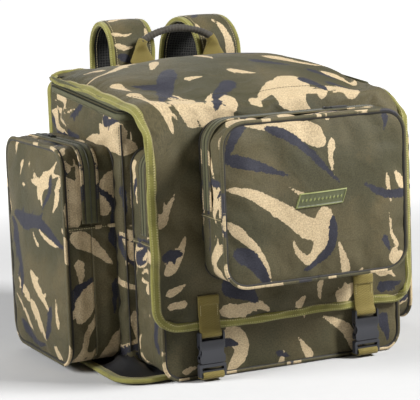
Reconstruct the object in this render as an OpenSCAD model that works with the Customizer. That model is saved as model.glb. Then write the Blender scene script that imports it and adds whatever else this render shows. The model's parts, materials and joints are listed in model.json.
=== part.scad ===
// Tackle backpack: a box-shaped camouflage rucksack with a buckled lid, four zipped
// pockets, two padded shoulder straps and a carry handle. Millimetres, +Z up.
// -Y is the front with the buckles, +Y is the back that lies against the wearer.
// The origin is at the bottom centre of the whole backpack.

/* [Main compartment] */
// Width of the main compartment between its outer side faces
main_w = 380; // [340:5:420]
// Depth of the main compartment, front wall to back panel
main_d = 253; // [240:1:280]
// Height of the lid's top surface at the back edge
lid_back_h = 386; // [370:1:400]
// Height of the lid's top surface at the front fold
lid_front_h = 355; // [345:1:365]
// Thickness of the padded side and front walls
wall_t = 5; // [4:0.5:6]

/* [Lid and flap] */
// Width of the lid and of the flap that hangs from it
lid_w = 385; // [360:1:400]
// Height of the flap's bottom edge above the ground
flap_bottom = 69; // [60:1:80]
// Rise of the stuffed lid's middle above its edges
lid_crown = 34; // [20:1:40]

/* [Pockets] */
// Width of the front pocket, which the flap covers
front_pocket_w = 352; // [300:2:360]
// Depth of the front pocket
front_pocket_d = 84; // [70:1:90]
// Height of the front pocket's top
front_pocket_h = 300; // [280:1:310]
// Width of the pocket on the flap
lid_pocket_w = 264; // [220:2:280]
// Depth of the pocket on the flap
lid_pocket_d = 66; // [50:1:80]
// How far the pocket on the flap sits to the right of the centre line
lid_pocket_x = 14; // [0:1:20]
// Width of each side pocket, along the side of the bag
side_pocket_w = 216; // [180:2:230]
// Depth of each side pocket, out from the side of the bag
side_pocket_d = 74; // [60:1:90]

/* [Straps and hardware] */
// Width of the buckle webbing
webbing_w = 30; // [25:1:32]
// Distance of each buckle from the bag's centre line
buckle_x = 116; // [100:1:130]
// Width of each padded shoulder strap
strap_w = 66; // [55:1:70]
// Distance of each shoulder strap from the middle of the harness
strap_x = 64; // [55:1:80]
// How far the straps and the carry handle sit to the right of the centre line
harness_x = 16; // [0:1:20]

/* [Hidden] */
$fn = 32;

gap = 0.3;                       // clearance between pieces that only touch
ground_t = 8;                    // thickness of the base panel
pocket_t = 3;                    // thickness of a pocket's wall
tape_t = 1.2;                    // thickness of a zip's tape
tape_w = 13;                     // width of one side of a zip's tape

// Planes from front to back. The front wall's outer face is where the front pocket is sewn on.
seam_y = -110;
back_y = seam_y + main_d;
front_y = seam_y - front_pocket_d;
flap_t = 5;
flap_y = front_y - 3 - flap_t;   // front face of the flap
lid_pocket_y = flap_y - lid_pocket_d;
back_t = 12;                     // thickness of the padded back panel
side_x = main_w / 2;
outer_x = side_x + side_pocket_d;

// The lid's top edge runs straight from the back edge down to the front fold.
fold_y = flap_y + flap_t / 2;
lid_t = 5;
function lid_edge(y) = lid_front_h + (lid_back_h - lid_front_h) * (y - fold_y) / (back_y - fold_y);
function rim(y) = lid_edge(y) - lid_t - 1;

// Heights of the seams where the zips end and the pocket covers fold.
side_pocket_z0 = 11;
side_pocket_z1 = 302;
side_fold_z = 200;
lid_pocket_z0 = 131;
lid_pocket_z1 = 340;
lid_fold_z = 222;
front_fold_z = 182;
side_pocket_y = seam_y + 26 + side_pocket_w / 2;
side_zip_x = side_x + side_pocket_d / 2;
lid_zip_d = 22;                  // distance of the lid pocket's zip from the flap
lid_zip_y = flap_y - lid_zip_d;
front_zip_y = seam_y - front_pocket_d / 2;

olive = "#6b7038";
camo = "#4d4b38";
black = "#202124";
grey = "#5a5a60";

// ---- outlines and helpers ----

// Points of a rectangle with round corners, centred at [cx, cy].
function round_rect(w, h, r, cx = 0, cy = 0, n = 5) = [
    for (q = [0:3], i = [0:n])
        let (a = 90 * q + 90 * i / n,
             sx = (q == 0 || q == 3) ? 1 : -1,
             sy = q < 2 ? 1 : -1)
        [cx + sx * (w / 2 - r) + r * cos(a), cy + sy * (h / 2 - r) + r * sin(a)]
];

// A flat ring between two outlines.
module ring_2d(w, h, r, wall, cx, cy) {
    difference() {
        polygon(round_rect(w, h, r, cx, cy));
        polygon(round_rect(w - 2 * wall, h - 2 * wall, max(r - wall, 1), cx, cy));
    }
}

// Outline of a band of thickness t along a path.
function unit(v) = v / norm(v);
function normal(p, i) =
    let (a = i > 0 ? unit(p[i] - p[i - 1]) : unit(p[1] - p[0]),
         b = i < len(p) - 1 ? unit(p[i + 1] - p[i]) : a,
         m = unit([-a[1] - b[1], a[0] + b[0]]))
    m / (m * [-a[1], a[0]]);
function ribbon(p, t) = concat(
    [for (i = [0:len(p) - 1]) p[i] + normal(p, i) * t / 2],
    [for (i = [len(p) - 1:-1:0]) p[i] - normal(p, i) * t / 2]
);

// Stands a shape drawn in X-Z up, spanning y0 to y1.
module along_y(y0, y1) {
    translate([0, y1, 0]) rotate([90, 0, 0]) linear_extrude(y1 - y0) children();
}

// Stands a shape drawn in Y-Z up, spanning x0 to x1.
module along_x(x0, x1) {
    translate([x0, 0, 0]) rotate([90, 0, 90]) linear_extrude(x1 - x0) children();
}

// Keeps the part of a shape between two heights.
module between(z0, z1) {
    intersection() {
        children();
        translate([-400, -400, z0]) cube([800, 800, z1 - z0]);
    }
}

// Makes the same piece on the left (-1) or the right (1) of the bag.
module on_side(s) {
    if (s < 0) mirror([1, 0, 0]) children();
    else children();
}

module block(x0, x1, y0, y1, z0, z1) {
    translate([x0, y0, z0]) cube([x1 - x0, y1 - y0, z1 - z0]);
}

// ---- base and back ----

base_left = 230;                 // the skirt shows on the left side only
base_right = side_x + 4;
base_y0 = front_y + 12;
base_y1 = back_y + back_t + 4;
base_r = 40;
binding_t = 2.5;

// The corner behind the right side is tight, so that it still carries the bag's corner.
function base_points(grow) = [
    for (q = [0:3], i = [0:6])
        let (a = 90 * q + 15 * i,
             r = q == 0 ? 12 : base_r,
             cx = (q == 0 || q == 3) ? base_right - r : r - base_left,
             cy = q < 2 ? base_y1 - r : base_y0 + r)
        [cx + (r + grow) * cos(a), cy + (r + grow) * sin(a)]
];

module base_outline(grow) {
    polygon(base_points(grow));
}

module base_panel() {
    color(black) linear_extrude(ground_t) base_outline(0);
}

module base_board() {
    inset = wall_t + 2;
    color("#d8d8d0")
        block(-side_x + inset, side_x - inset, seam_y + inset, back_y - 2,
              ground_t + gap, ground_t + 3);
}

module base_binding() {
    color(olive) translate([0, 0, 0.5]) linear_extrude(ground_t + 1.5) difference() {
        base_outline(binding_t);
        base_outline(0);
    }
}

module back_panel() {
    color(black)
        block(-side_x, side_x, back_y + gap, back_y + back_t, ground_t + gap, rim(back_y) - 4);
}

// Two long mesh pads either side of an air channel, and a lumbar pad below them.
module back_pads() {
    pad_t = 12;
    y0 = back_y + back_t + gap;
    color(black) {
        for (s = [-1, 1])
            along_y(y0, y0 + pad_t) polygon(round_rect(130, 200, 20, s * 85, 240));
        along_y(y0, y0 + pad_t) polygon(round_rect(300, 72, 20, 0, 92));
    }
}

module back_binding() {
    y0 = back_y + gap;
    z1 = rim(back_y) - 4;
    color(olive) for (s = [-1, 1]) on_side(s)
        block(side_x + gap, side_x + 3, y0, y0 + back_t, ground_t + 3, z1);
}

// ---- main compartment ----

module side_panel(s) {
    color(camo) on_side(s)
        along_x(side_x - wall_t, side_x) polygon([
            [seam_y + wall_t + gap, ground_t + gap],
            [back_y, ground_t + gap],
            [back_y, rim(back_y)],
            [seam_y + wall_t + gap, rim(seam_y)]
        ]);
}

module front_panel() {
    color(camo)
        block(-side_x, side_x, seam_y, seam_y + wall_t, ground_t + gap, rim(seam_y) - 1);
}

// One half of the zip that closes the lid: a tape along both sides of the rim.
module rim_tape(lower) {
    top = lower ? -7.5 : -1;
    drop = 6;
    y0 = seam_y + 4;
    y1 = back_y - 12;
    for (s = [-1, 1]) on_side(s)
        along_x(side_x + gap, side_x + gap + tape_t) polygon([
            [y0, rim(y0) + top], [y1, rim(y1) + top],
            [y1, rim(y1) + top - drop], [y0, rim(y0) + top - drop]
        ]);
}

module rim_zip() {
    color("#5b6048") rim_tape(true);
}

// ---- lid ----

lid_rows = 12;
fold_r = 2.5;                    // the lid's rounded front edge, which the flap hangs from
fold_z = lid_front_h - fold_r;
lid_y0 = fold_y + 1;
lid_y1 = back_y - 1;

function lid_rise(u, v) = lid_crown * pow(sin(180 * v), 1.5) * (1 - pow(abs(2 * u - 1), 2.4));
function lid_point(i, j, drop) =
    let (u = i / lid_rows, v = j / lid_rows, y = lid_y0 + (lid_y1 - lid_y0) * v)
    [lid_w * (u - 0.5), y, lid_edge(y) + lid_rise(u, v) - drop];

// The stuffed top of the bag, crowned both ways, with a rounded front edge.
module lid_panel() {
    n = lid_rows + 1;
    m = n * n;
    points = [for (drop = [0, lid_t], j = [0:lid_rows], i = [0:lid_rows]) lid_point(i, j, drop)];
    border = concat(
        [for (i = [0:lid_rows - 1]) i],
        [for (j = [0:lid_rows - 1]) j * n + lid_rows],
        [for (i = [lid_rows:-1:1]) lid_rows * n + i],
        [for (j = [lid_rows:-1:1]) j * n]
    );
    faces = concat(
        [for (j = [0:lid_rows - 1], i = [0:lid_rows - 1]) each [
            [j * n + i, (j + 1) * n + i, j * n + i + 1],
            [j * n + i + 1, (j + 1) * n + i, (j + 1) * n + i + 1],
            [m + j * n + i, m + j * n + i + 1, m + (j + 1) * n + i],
            [m + j * n + i + 1, m + (j + 1) * n + i + 1, m + (j + 1) * n + i]
        ]],
        [for (k = [0:len(border) - 1])
            let (a = border[k], b = border[(k + 1) % len(border)]) each [
                [a, b, m + a],
                [b, m + b, m + a]
            ]]
    );
    color(camo) union() {
        polyhedron(points, faces);
        translate([-lid_w / 2, fold_y, fold_z]) rotate([0, 90, 0]) cylinder(h = lid_w, r = fold_r);
    }
}

module lid_zip() {
    color("#5b6048") rim_tape(false);
}

// Tape folded over the lid's two side edges.
module lid_binding() {
    y0 = fold_y + 6;
    y1 = back_y - 4;
    color(olive) for (s = [-1, 1]) on_side(s)
        along_x(lid_w / 2 + gap, lid_w / 2 + 2.5) polygon([
            [y0, lid_edge(y0) + 1], [y1, lid_edge(y1) + 1],
            [y1, lid_edge(y1) - 8], [y0, lid_edge(y0) - 8]
        ]);
}

// ---- flap ----

flap_top = fold_z - fold_r - 0.6;

module flap_panel() {
    color(camo) between(flap_bottom, flap_top)
        along_y(flap_y, flap_y + flap_t)
            polygon(round_rect(lid_w, 2 * (flap_top - flap_bottom), 34, 0, flap_top));
}

module flap_binding() {
    grow = 2.2;
    color(olive) between(flap_bottom - grow, flap_top)
        along_y(flap_y - 0.5, flap_y + flap_t + 0.5) difference() {
            polygon(round_rect(lid_w + 2 * grow, 2 * (flap_top - flap_bottom) + 2 * grow,
                               34 + grow, 0, flap_top));
            polygon(round_rect(lid_w, 2 * (flap_top - flap_bottom), 34, 0, flap_top));
        }
}

module badge() {
    w = 76;
    h = 19;
    slant = 5;
    z = lid_fold_z + 5;
    color(olive) translate([lid_pocket_x, 0, 0]) along_y(lid_pocket_y - 2.5, lid_pocket_y - gap)
        polygon([[-w / 2, z], [w / 2 - slant, z], [w / 2, z + h], [slant - w / 2, z + h]]);
}

// Webbing sewn to the flap, and looped round the bar at the top of the buckle.
bar_y = flap_y - 7;
bar_z = flap_bottom - 8;
bar_r = 2;
module lid_straps() {
    t = 1.6;
    y = flap_y - gap;
    loop_r = bar_r + 1.2;
    color(olive) for (s = [-1, 1]) translate([s * buckle_x, 0, 0])
        along_x(-webbing_w / 2, webbing_w / 2) union() {
            polygon([[y, flap_bottom + 42], [y - t, flap_bottom + 42],
                     [y - t, flap_bottom + 6], [bar_y - loop_r - t, bar_z + 1],
                     [bar_y - loop_r - t, bar_z], [bar_y - loop_r, bar_z],
                     [y - t + 0.4, flap_bottom + 2], [bar_y + loop_r, bar_z],
                     [bar_y + loop_r + t, bar_z], [y, flap_bottom + 2]]);
            translate([bar_y, bar_z]) difference() {
                circle(loop_r + t);
                circle(loop_r);
                translate([-10, 0]) square([20, 10]);
            }
        }
}

// ---- pocket shells ----

// One pocket: its outer face, the strip round it and the seam where the cover folds.
// Drawn in its own frame: width along X, height along Z, and it opens towards +Y at y = 0.
module pocket_face(w, z0, z1, r, d) {
    along_y(-d, -d + pocket_t) polygon(round_rect(w, z1 - z0, r, 0, (z0 + z1) / 2));
}

module pocket_strip(w, z0, z1, r, y0, y1, wall = pocket_t) {
    along_y(y0, y1) ring_2d(w, z1 - z0, r, wall, 0, (z0 + z1) / 2);
}

module pocket_shell(w, z0, z1, r, d, fold_z, zip_d) {
    pocket_strip(w, z0, z1, r, -zip_d, -gap);
    between(z0 - 1, fold_z) union() {
        pocket_strip(w, z0, z1, r, -d + 1, -zip_d + 1);
        pocket_face(w, z0, z1, r, d);
    }
}

module pocket_cover(w, z0, z1, r, d, fold_z, zip_d) {
    between(fold_z + gap, z1 + 1) union() {
        pocket_strip(w, z0, z1, r, -d + 1, -zip_d - gap);
        pocket_face(w, z0, z1, r, d);
    }
}

// The cord in the seam round the outer face.
module pocket_piping(w, z0, z1, r, d, low, high) {
    grow = 2.5;
    between(low, high) along_y(-d - 1, -d + 4) difference() {
        polygon(round_rect(w + 2 * grow, z1 - z0 + 2 * grow, r + grow, 0, (z0 + z1) / 2));
        polygon(round_rect(w + 0.1, z1 - z0 + 0.1, r, 0, (z0 + z1) / 2));
    }
}

// The tape on the bag's side of the zip, round the upper part of the strip.
module pocket_tape(w, z0, z1, r, fold_z, zip_d) {
    between(fold_z + 1, z1 + 5) along_y(-zip_d, -zip_d + tape_w) difference() {
        polygon(round_rect(w + 2 * tape_t, z1 - z0 + 2 * tape_t, r + tape_t, 0, (z0 + z1) / 2));
        polygon(round_rect(w + 0.1, z1 - z0 + 0.1, r, 0, (z0 + z1) / 2));
    }
}

corner_r = 30;
module at_side(s) {
    translate([s * side_x, side_pocket_y, 0]) rotate([0, 0, s * 90]) children();
}
module at_flap() {
    translate([lid_pocket_x, flap_y, 0]) children();
}

module side_shell(s) {
    color(camo) at_side(s) pocket_shell(side_pocket_w, side_pocket_z0, side_pocket_z1, corner_r,
                                        side_pocket_d, side_fold_z, side_pocket_d / 2);
}
module side_cover(s) {
    color(camo) at_side(s) pocket_cover(side_pocket_w, side_pocket_z0, side_pocket_z1, corner_r,
                                        side_pocket_d, side_fold_z, side_pocket_d / 2);
}
module side_piping(s, low, high) {
    color(black) at_side(s) pocket_piping(side_pocket_w, side_pocket_z0, side_pocket_z1, corner_r,
                                          side_pocket_d, low, high);
}
module side_pocket_zip() {
    color("#5b6048") for (s = [-1, 1]) at_side(s)
        pocket_tape(side_pocket_w, side_pocket_z0, side_pocket_z1, corner_r,
                    side_fold_z, side_pocket_d / 2);
}
module lid_pocket_shell() {
    color(camo) at_flap() pocket_shell(lid_pocket_w, lid_pocket_z0, lid_pocket_z1, corner_r,
                                       lid_pocket_d, lid_fold_z, lid_zip_d);
}
module lid_pocket_cover() {
    color(camo) at_flap() pocket_cover(lid_pocket_w, lid_pocket_z0, lid_pocket_z1, corner_r,
                                       lid_pocket_d, lid_fold_z, lid_zip_d);
}
module lid_piping(low, high) {
    color(black) at_flap() pocket_piping(lid_pocket_w, lid_pocket_z0, lid_pocket_z1, corner_r,
                                         lid_pocket_d, low, high);
}
module lid_pocket_zip() {
    color("#5b6048") at_flap() pocket_tape(lid_pocket_w, lid_pocket_z0, lid_pocket_z1, corner_r,
                                           lid_fold_z, lid_zip_d);
}

// The front pocket reaches the ground in front of the base panel.
module front_pocket_shell() {
    floor_z = ground_t + 3;
    color(camo) {
        translate([0, seam_y, 0]) union() {
            along_y(-front_pocket_d, -front_pocket_d + pocket_t)
                polygon(round_rect(front_pocket_w, front_pocket_h - 2, 22,
                                   0, front_pocket_h / 2 + 1));
            pocket_strip(front_pocket_w, floor_z, front_pocket_h, 22, -front_pocket_d + 1, -gap);
        }
    }
}
module front_pocket_piping() {
    grow = 2.5;
    z = front_pocket_h / 2 + 1;
    h = front_pocket_h - 2;
    color(black) between(0, front_pocket_h + 4)
        along_y(front_y - 1, front_y + 4) difference() {
            polygon(round_rect(front_pocket_w + 2 * grow, h + 2 * grow, 22 + grow, 0, z + 0.6));
            polygon(round_rect(front_pocket_w + 0.1, h + 0.1, 22, 0, z));
        }
}
module front_pocket_zip() {
    color("#5b6048") between(front_fold_z, front_pocket_h + 5)
        along_y(front_zip_y - tape_w / 2, front_zip_y + tape_w / 2) difference() {
            polygon(round_rect(front_pocket_w + 2 * tape_t, 2 * front_pocket_h + 2 * tape_t,
                               22 + tape_t, 0, 0));
            polygon(round_rect(front_pocket_w + 0.1, 2 * front_pocket_h + 0.1, 22, 0, 0));
        }
}

// ---- buckles ----

buckle_w = 36;
buckle_t = 10;
male_top = 24;                   // where the female half begins, 1 mm above the male half
female_top = bar_z + 4.5;
buckle_y = bar_y;                // middle plane of both halves

// Outline of a half: straight sides with a shallow waist at the finger windows.
module female_outline() {
    difference() {
        polygon(round_rect(buckle_w, female_top - male_top, 3, 0, (female_top + male_top) / 2));
        for (s = [-1, 1]) translate([s * (buckle_w / 2 + 6), male_top + 15]) circle(8.5);
    }
}
module female(s) {
    color(grey) translate([s * buckle_x, buckle_y, 0]) union() {
        difference() {
            along_y(-buckle_t / 2, buckle_t / 2) female_outline();
            // pocket for the prongs
            block(-14.5, 14.5, -3, 3, male_top - 1, male_top + 25);
            // windows that show the prongs' thumb pads
            for (w = [-1, 1]) block(w < 0 ? -19 : 10, w < 0 ? -10 : 19, -3, 3,
                                    male_top + 6, male_top + 24);
            // gap for the webbing, open at the top
            block(-webbing_w / 2 - 0.5, webbing_w / 2 + 0.5, -6, 6, male_top + 30, female_top + 1);
        }
        translate([-webbing_w / 2 - 1, 0, bar_z]) rotate([0, 90, 0])
            cylinder(h = webbing_w + 2, r = bar_r);
    }
}

// The male half: a frame with two bars that the adjustable webbing is laced round.
male_w = 38;
male_z0 = 5;
module male(s) {
    color(grey) translate([s * buckle_x, buckle_y, 0]) difference() {
        along_y(-4, 4) polygon(round_rect(male_w, male_top - 1 - male_z0, 2.5,
                                          0, (male_top - 1 + male_z0) / 2));
        for (z = [male_z0 + 3, male_z0 + 9.5])
            block(-webbing_w / 2 - 0.5, webbing_w / 2 + 0.5, -6, 6, z, z + 4);
    }
}

// A springy arm with a thumb pad. side is -1 or 1 within its buckle.
module prong(s, side) {
    color(grey) translate([s * buckle_x, buckle_y, 0]) on_side(side)
        along_y(-2, 2) polygon([
            [7.2, male_top - 0.8], [11.2, male_top - 0.8], [12.5, male_top + 7],
            [16.5, male_top + 9], [17, male_top + 14], [15, male_top + 20.5],
            [11, male_top + 23.5], [9, male_top + 22], [9, male_top + 8]
        ]);
}

// Webbing from under the bag's front edge, laced through the male half.
module base_straps() {
    y = 4.9;
    z = male_z0 + 11.5;
    color(olive) for (s = [-1, 1]) translate([s * buckle_x, buckle_y, 0])
        along_x(-webbing_w / 2, webbing_w / 2)
            polygon(ribbon([[front_y - buckle_y - 1.5, 1.8], [-2, 1.8], [-y, 4.5], [-y, z],
                            [y, z], [y, z - 7]], 1.5));
}

// ---- zip sliders and pulls ----

slider_l = 12;
bar_h = 4.3;                     // height of the pull's pivot above the tape

// Drawn lying on a tape in the X-Y plane, running along Y.
module slider() {
    color(black) union() {
        block(-4, 4, -slider_l / 2, slider_l / 2, gap, 2.2);
        for (x = [-3.6, 2.6]) block(x, x + 1, -1.6, 1.6, 2, bar_h + 1);
        translate([-3, 0, bar_h]) rotate([0, 90, 0]) cylinder(h = 6, r = 0.8);
    }
}
module pull() {
    color(black) difference() {
        union() {
            translate([-2, 0, bar_h]) rotate([0, 90, 0]) cylinder(h = 4, r = 1.8);
            block(-2, 2, 0.5, 10, bar_h - 0.8, bar_h + 0.8);
            block(-3.5, 3.5, 9, 32, bar_h - 1, bar_h + 1);
        }
        translate([-3, 0, bar_h]) rotate([0, 90, 0]) cylinder(h = 6, r = 1);
    }
}

// Where each slider rests: on top of the side pockets and the lid pocket, and upright on the right-hand
// side of the front pocket and of the rim.
slope = atan((lid_back_h - lid_front_h) / (back_y - fold_y));
module at_side_slider(s) {
    translate([s * side_zip_x, side_pocket_y + 20, side_pocket_z1 + tape_t]) children();
}
module at_lid_slider() {
    translate([lid_pocket_x + 40, lid_zip_y, lid_pocket_z1 + tape_t]) rotate([0, 0, -90]) children();
}
module at_front_slider() {
    translate([front_pocket_w / 2 + tape_t, front_zip_y, 250]) rotate([0, 90, 0]) rotate([0, 0, -90])
        children();
}
module at_rim_slider() {
    y = back_y - 60;
    translate([side_x + gap + tape_t, y, rim(y) - 7.3]) rotate([slope, 0, 0]) rotate([0, 90, 0])
        children();
}

// ---- shoulder straps and handle ----

anchor_y = back_y + back_t + 11.5;    // middle plane of a strap's sewn end
pad_t = 11;
arch_z = 402;
arch_r = 46.5;
lock_y = anchor_y + 79;
lock_z = 150;

// Up from the sewn end, over in a half turn, then a long curve down behind the back.
pad_path = concat(
    [[anchor_y, 352]],
    [for (a = [180:-12:0]) [anchor_y + arch_r * (1 + cos(a)), arch_z + arch_r * sin(a)]],
    [[anchor_y + 97, 340], [anchor_y + 94, 260], [anchor_y + 82, 172]]
);
module shoulder_pad(s) {
    color(camo) translate([harness_x + s * strap_x, 0, 0])
        along_x(-strap_w / 2, strap_w / 2) polygon(ribbon(pad_path, pad_t));
}

module ladder_lock(s) {
    color(black) translate([harness_x + s * strap_x, lock_y, 0]) difference() {
        along_y(-3, 3) polygon(round_rect(40, 34, 3, 0, lock_z));
        for (z = [lock_z - 12, lock_z - 3, lock_z + 7])
            block(-webbing_w / 2 - 0.5, webbing_w / 2 + 0.5, -5, 5, z, z + 5);
    }
}

// Webbing from the bag's bottom edge up to the adjuster, with its spare end hanging behind.
module strap_webbing(s) {
    z = lock_z - 0.5;
    color(olive) translate([harness_x + s * strap_x, 0, 0]) along_x(-webbing_w / 2, webbing_w / 2)
        polygon(ribbon([[back_y + back_t + 5, 14], [lock_y - 4.3, z - 9], [lock_y - 4.3, z],
                        [lock_y + 4.3, z], [lock_y + 4.3, 70]], 1.6));
}

handle_y = back_y + back_t / 2;
handle_z = lid_back_h + 1;
handle_lean = 5;
handle_half = 58;                // half the distance between the grip's ends
handle_end_h = 34.5;             // height of the grip's ends above the anchors
grip_r = 5.5;
grip_bend = 107;                 // radius the grip is bent to
module at_handle() {
    translate([harness_x, handle_y, handle_z]) rotate([-handle_lean, 0, 0]) children();
}
module handle_webbing() {
    x = handle_half;
    color(olive) at_handle() for (s = [-1, 1]) on_side(s)
        along_y(-1, 1) polygon([[x + 17, 0], [x - 17, 0], [x - 6, handle_end_h - 5.5],
                                [x + 4, handle_end_h - 5.5]]);
}
module handle_grip() {
    half = asin(handle_half / grip_bend);
    color(black) at_handle()
        translate([0, 0, handle_end_h - grip_bend * cos(half)]) rotate([90, 0, 0])
            rotate([0, 0, 90 - half]) rotate_extrude(angle = 2 * half)
                translate([grip_bend, 0]) circle(grip_r);
}

// ---- every node ----

base_panel();
base_board();
base_binding();
back_panel();
back_pads();
back_binding();
side_panel(-1);  // side_panel_left
side_panel(1);  // side_panel_right
front_panel();
rim_zip();
front_pocket_shell();
front_pocket_piping();
front_pocket_zip();
side_shell(-1);  // side_pocket_left_shell
side_shell(1);  // side_pocket_right_shell
union() {  // side_pocket_piping
    side_piping(-1, side_pocket_z0 - 5, side_fold_z);
    side_piping(1, side_pocket_z0 - 5, side_fold_z);
}
side_pocket_zip();
base_straps();
male(-1);  // buckle_male_left
male(1);  // buckle_male_right
lid_panel();
lid_zip();
lid_binding();
flap_panel();
flap_binding();
lid_pocket_shell();
lid_piping(lid_pocket_z0 - 5, lid_fold_z);  // lid_pocket_piping
lid_pocket_zip();
badge();
lid_straps();
female(-1);  // buckle_female_left
female(1);  // buckle_female_right
prong(-1, -1);  // prong_left_a
prong(-1, 1);  // prong_left_b
prong(1, -1);  // prong_right_a
prong(1, 1);  // prong_right_b
lid_pocket_cover();
lid_piping(lid_fold_z + gap, lid_pocket_z1 + 5);  // lid_pocket_cover_piping
side_cover(-1);  // side_pocket_left_cover
side_cover(1);  // side_pocket_right_cover
side_piping(-1, side_fold_z + gap, side_pocket_z1 + 5);  // side_pocket_left_cover_piping
side_piping(1, side_fold_z + gap, side_pocket_z1 + 5);  // side_pocket_right_cover_piping
at_rim_slider() slider();  // rim_slider
at_rim_slider() pull();  // rim_pull
at_front_slider() slider();  // front_pocket_slider
at_front_slider() pull();  // front_pocket_pull
at_side_slider(-1) slider();  // side_left_slider
at_side_slider(-1) pull();  // side_left_pull
at_side_slider(1) slider();  // side_right_slider
at_side_slider(1) pull();  // side_right_pull
at_lid_slider() slider();  // lid_pocket_slider
at_lid_slider() pull();  // lid_pocket_pull
shoulder_pad(-1);  // shoulder_pad_left
shoulder_pad(1);  // shoulder_pad_right
strap_webbing(-1);  // strap_webbing_left
strap_webbing(1);  // strap_webbing_right
ladder_lock(-1);  // ladder_lock_left
ladder_lock(1);  // ladder_lock_right
handle_grip();
handle_webbing();
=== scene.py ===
import json, math, random
import bpy, bmesh
import numpy as np
from mathutils import Vector, Matrix


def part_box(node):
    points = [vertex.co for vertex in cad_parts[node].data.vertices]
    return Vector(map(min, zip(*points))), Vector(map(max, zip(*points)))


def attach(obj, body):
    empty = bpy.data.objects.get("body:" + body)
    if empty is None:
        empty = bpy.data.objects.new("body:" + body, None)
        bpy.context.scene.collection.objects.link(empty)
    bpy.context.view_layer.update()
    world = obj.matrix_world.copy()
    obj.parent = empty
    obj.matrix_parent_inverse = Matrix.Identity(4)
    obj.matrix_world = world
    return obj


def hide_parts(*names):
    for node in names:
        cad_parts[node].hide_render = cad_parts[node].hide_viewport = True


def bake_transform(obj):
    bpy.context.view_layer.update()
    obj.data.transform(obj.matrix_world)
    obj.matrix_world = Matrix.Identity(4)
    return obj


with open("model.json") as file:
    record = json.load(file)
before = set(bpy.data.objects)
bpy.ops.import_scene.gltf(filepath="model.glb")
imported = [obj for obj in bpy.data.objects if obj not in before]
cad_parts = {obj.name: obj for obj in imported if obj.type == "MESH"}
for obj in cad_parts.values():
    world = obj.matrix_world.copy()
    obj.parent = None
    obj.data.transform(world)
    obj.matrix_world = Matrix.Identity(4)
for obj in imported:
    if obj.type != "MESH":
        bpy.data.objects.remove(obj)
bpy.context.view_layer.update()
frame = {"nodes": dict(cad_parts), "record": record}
scene = bpy.context.scene
MM = 0.001


def box(node):
    """A CAD node's corners, in millimetres."""
    lo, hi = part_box(node)
    return np.array(lo) * 1000, np.array(hi) * 1000


# ---------------------------------------------------------------- camera and light

DISTANCE = 2.483                  # from the camera to the target, in metres
AIM_LEFT, AIM_UP = 0.0383, 0.0003   # how far the middle of the view lies from the target
target = Vector((0, -0.065, 0.210))
az, el, roll = math.radians(-26), math.radians(8.8), math.radians(-2.2)
back = Vector((math.sin(az) * math.cos(el), -math.cos(az) * math.cos(el), math.sin(el)))
right = Vector((math.cos(az), math.sin(az), 0))
cam = bpy.data.objects.new("Camera", bpy.data.cameras.new("Camera"))
scene.collection.objects.link(cam)
scene.camera = cam
cam.data.sensor_width = 36
cam.data.lens = 153.3
place = target + back * DISTANCE
aim = target - right * AIM_LEFT + back.cross(right) * AIM_UP
zc = (place - aim).normalized()
xc = Vector((0, 0, 1)).cross(zc).normalized()
yc = zc.cross(xc)
xr = xc * math.cos(roll) + yc * math.sin(roll)
yr = yc * math.cos(roll) - xc * math.sin(roll)
cam.matrix_world = Matrix.Translation(place) @ Matrix((xr, yr, zc)).transposed().to_4x4()


LIGHTS_AIM = Vector((0, 0, 0.2))


def area_light(name, loc, size, power):
    li = bpy.data.lights.new(name, "AREA")
    li.energy, li.size = power, size
    ob = bpy.data.objects.new(name, li)
    ob.location = loc
    ob.rotation_euler = (LIGHTS_AIM - Vector(loc)).to_track_quat("-Z", "Y").to_euler()
    scene.collection.objects.link(ob)


area_light("key", (1.9, -1.75, 2.1), 0.8, 186)
area_light("fill", (-0.6, -2.6, 0.9), 1.6, 0.5)
area_light("left", (-2.4, 0.1, 1.3), 1.1, 88)
area_light("rear", (0.4, 2.2, 1.9), 1.6, 20)
world = bpy.data.worlds.new("World")
scene.world = world
world.use_nodes = True
soft = world.node_tree.nodes["Background"]
soft.inputs[0].default_value = (1, 1, 1, 1)
soft.inputs[1].default_value = 0.03
scene.view_settings.view_transform = "Standard"
scene.view_settings.look = "None"


# ---------------------------------------------------------------- materials

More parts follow.
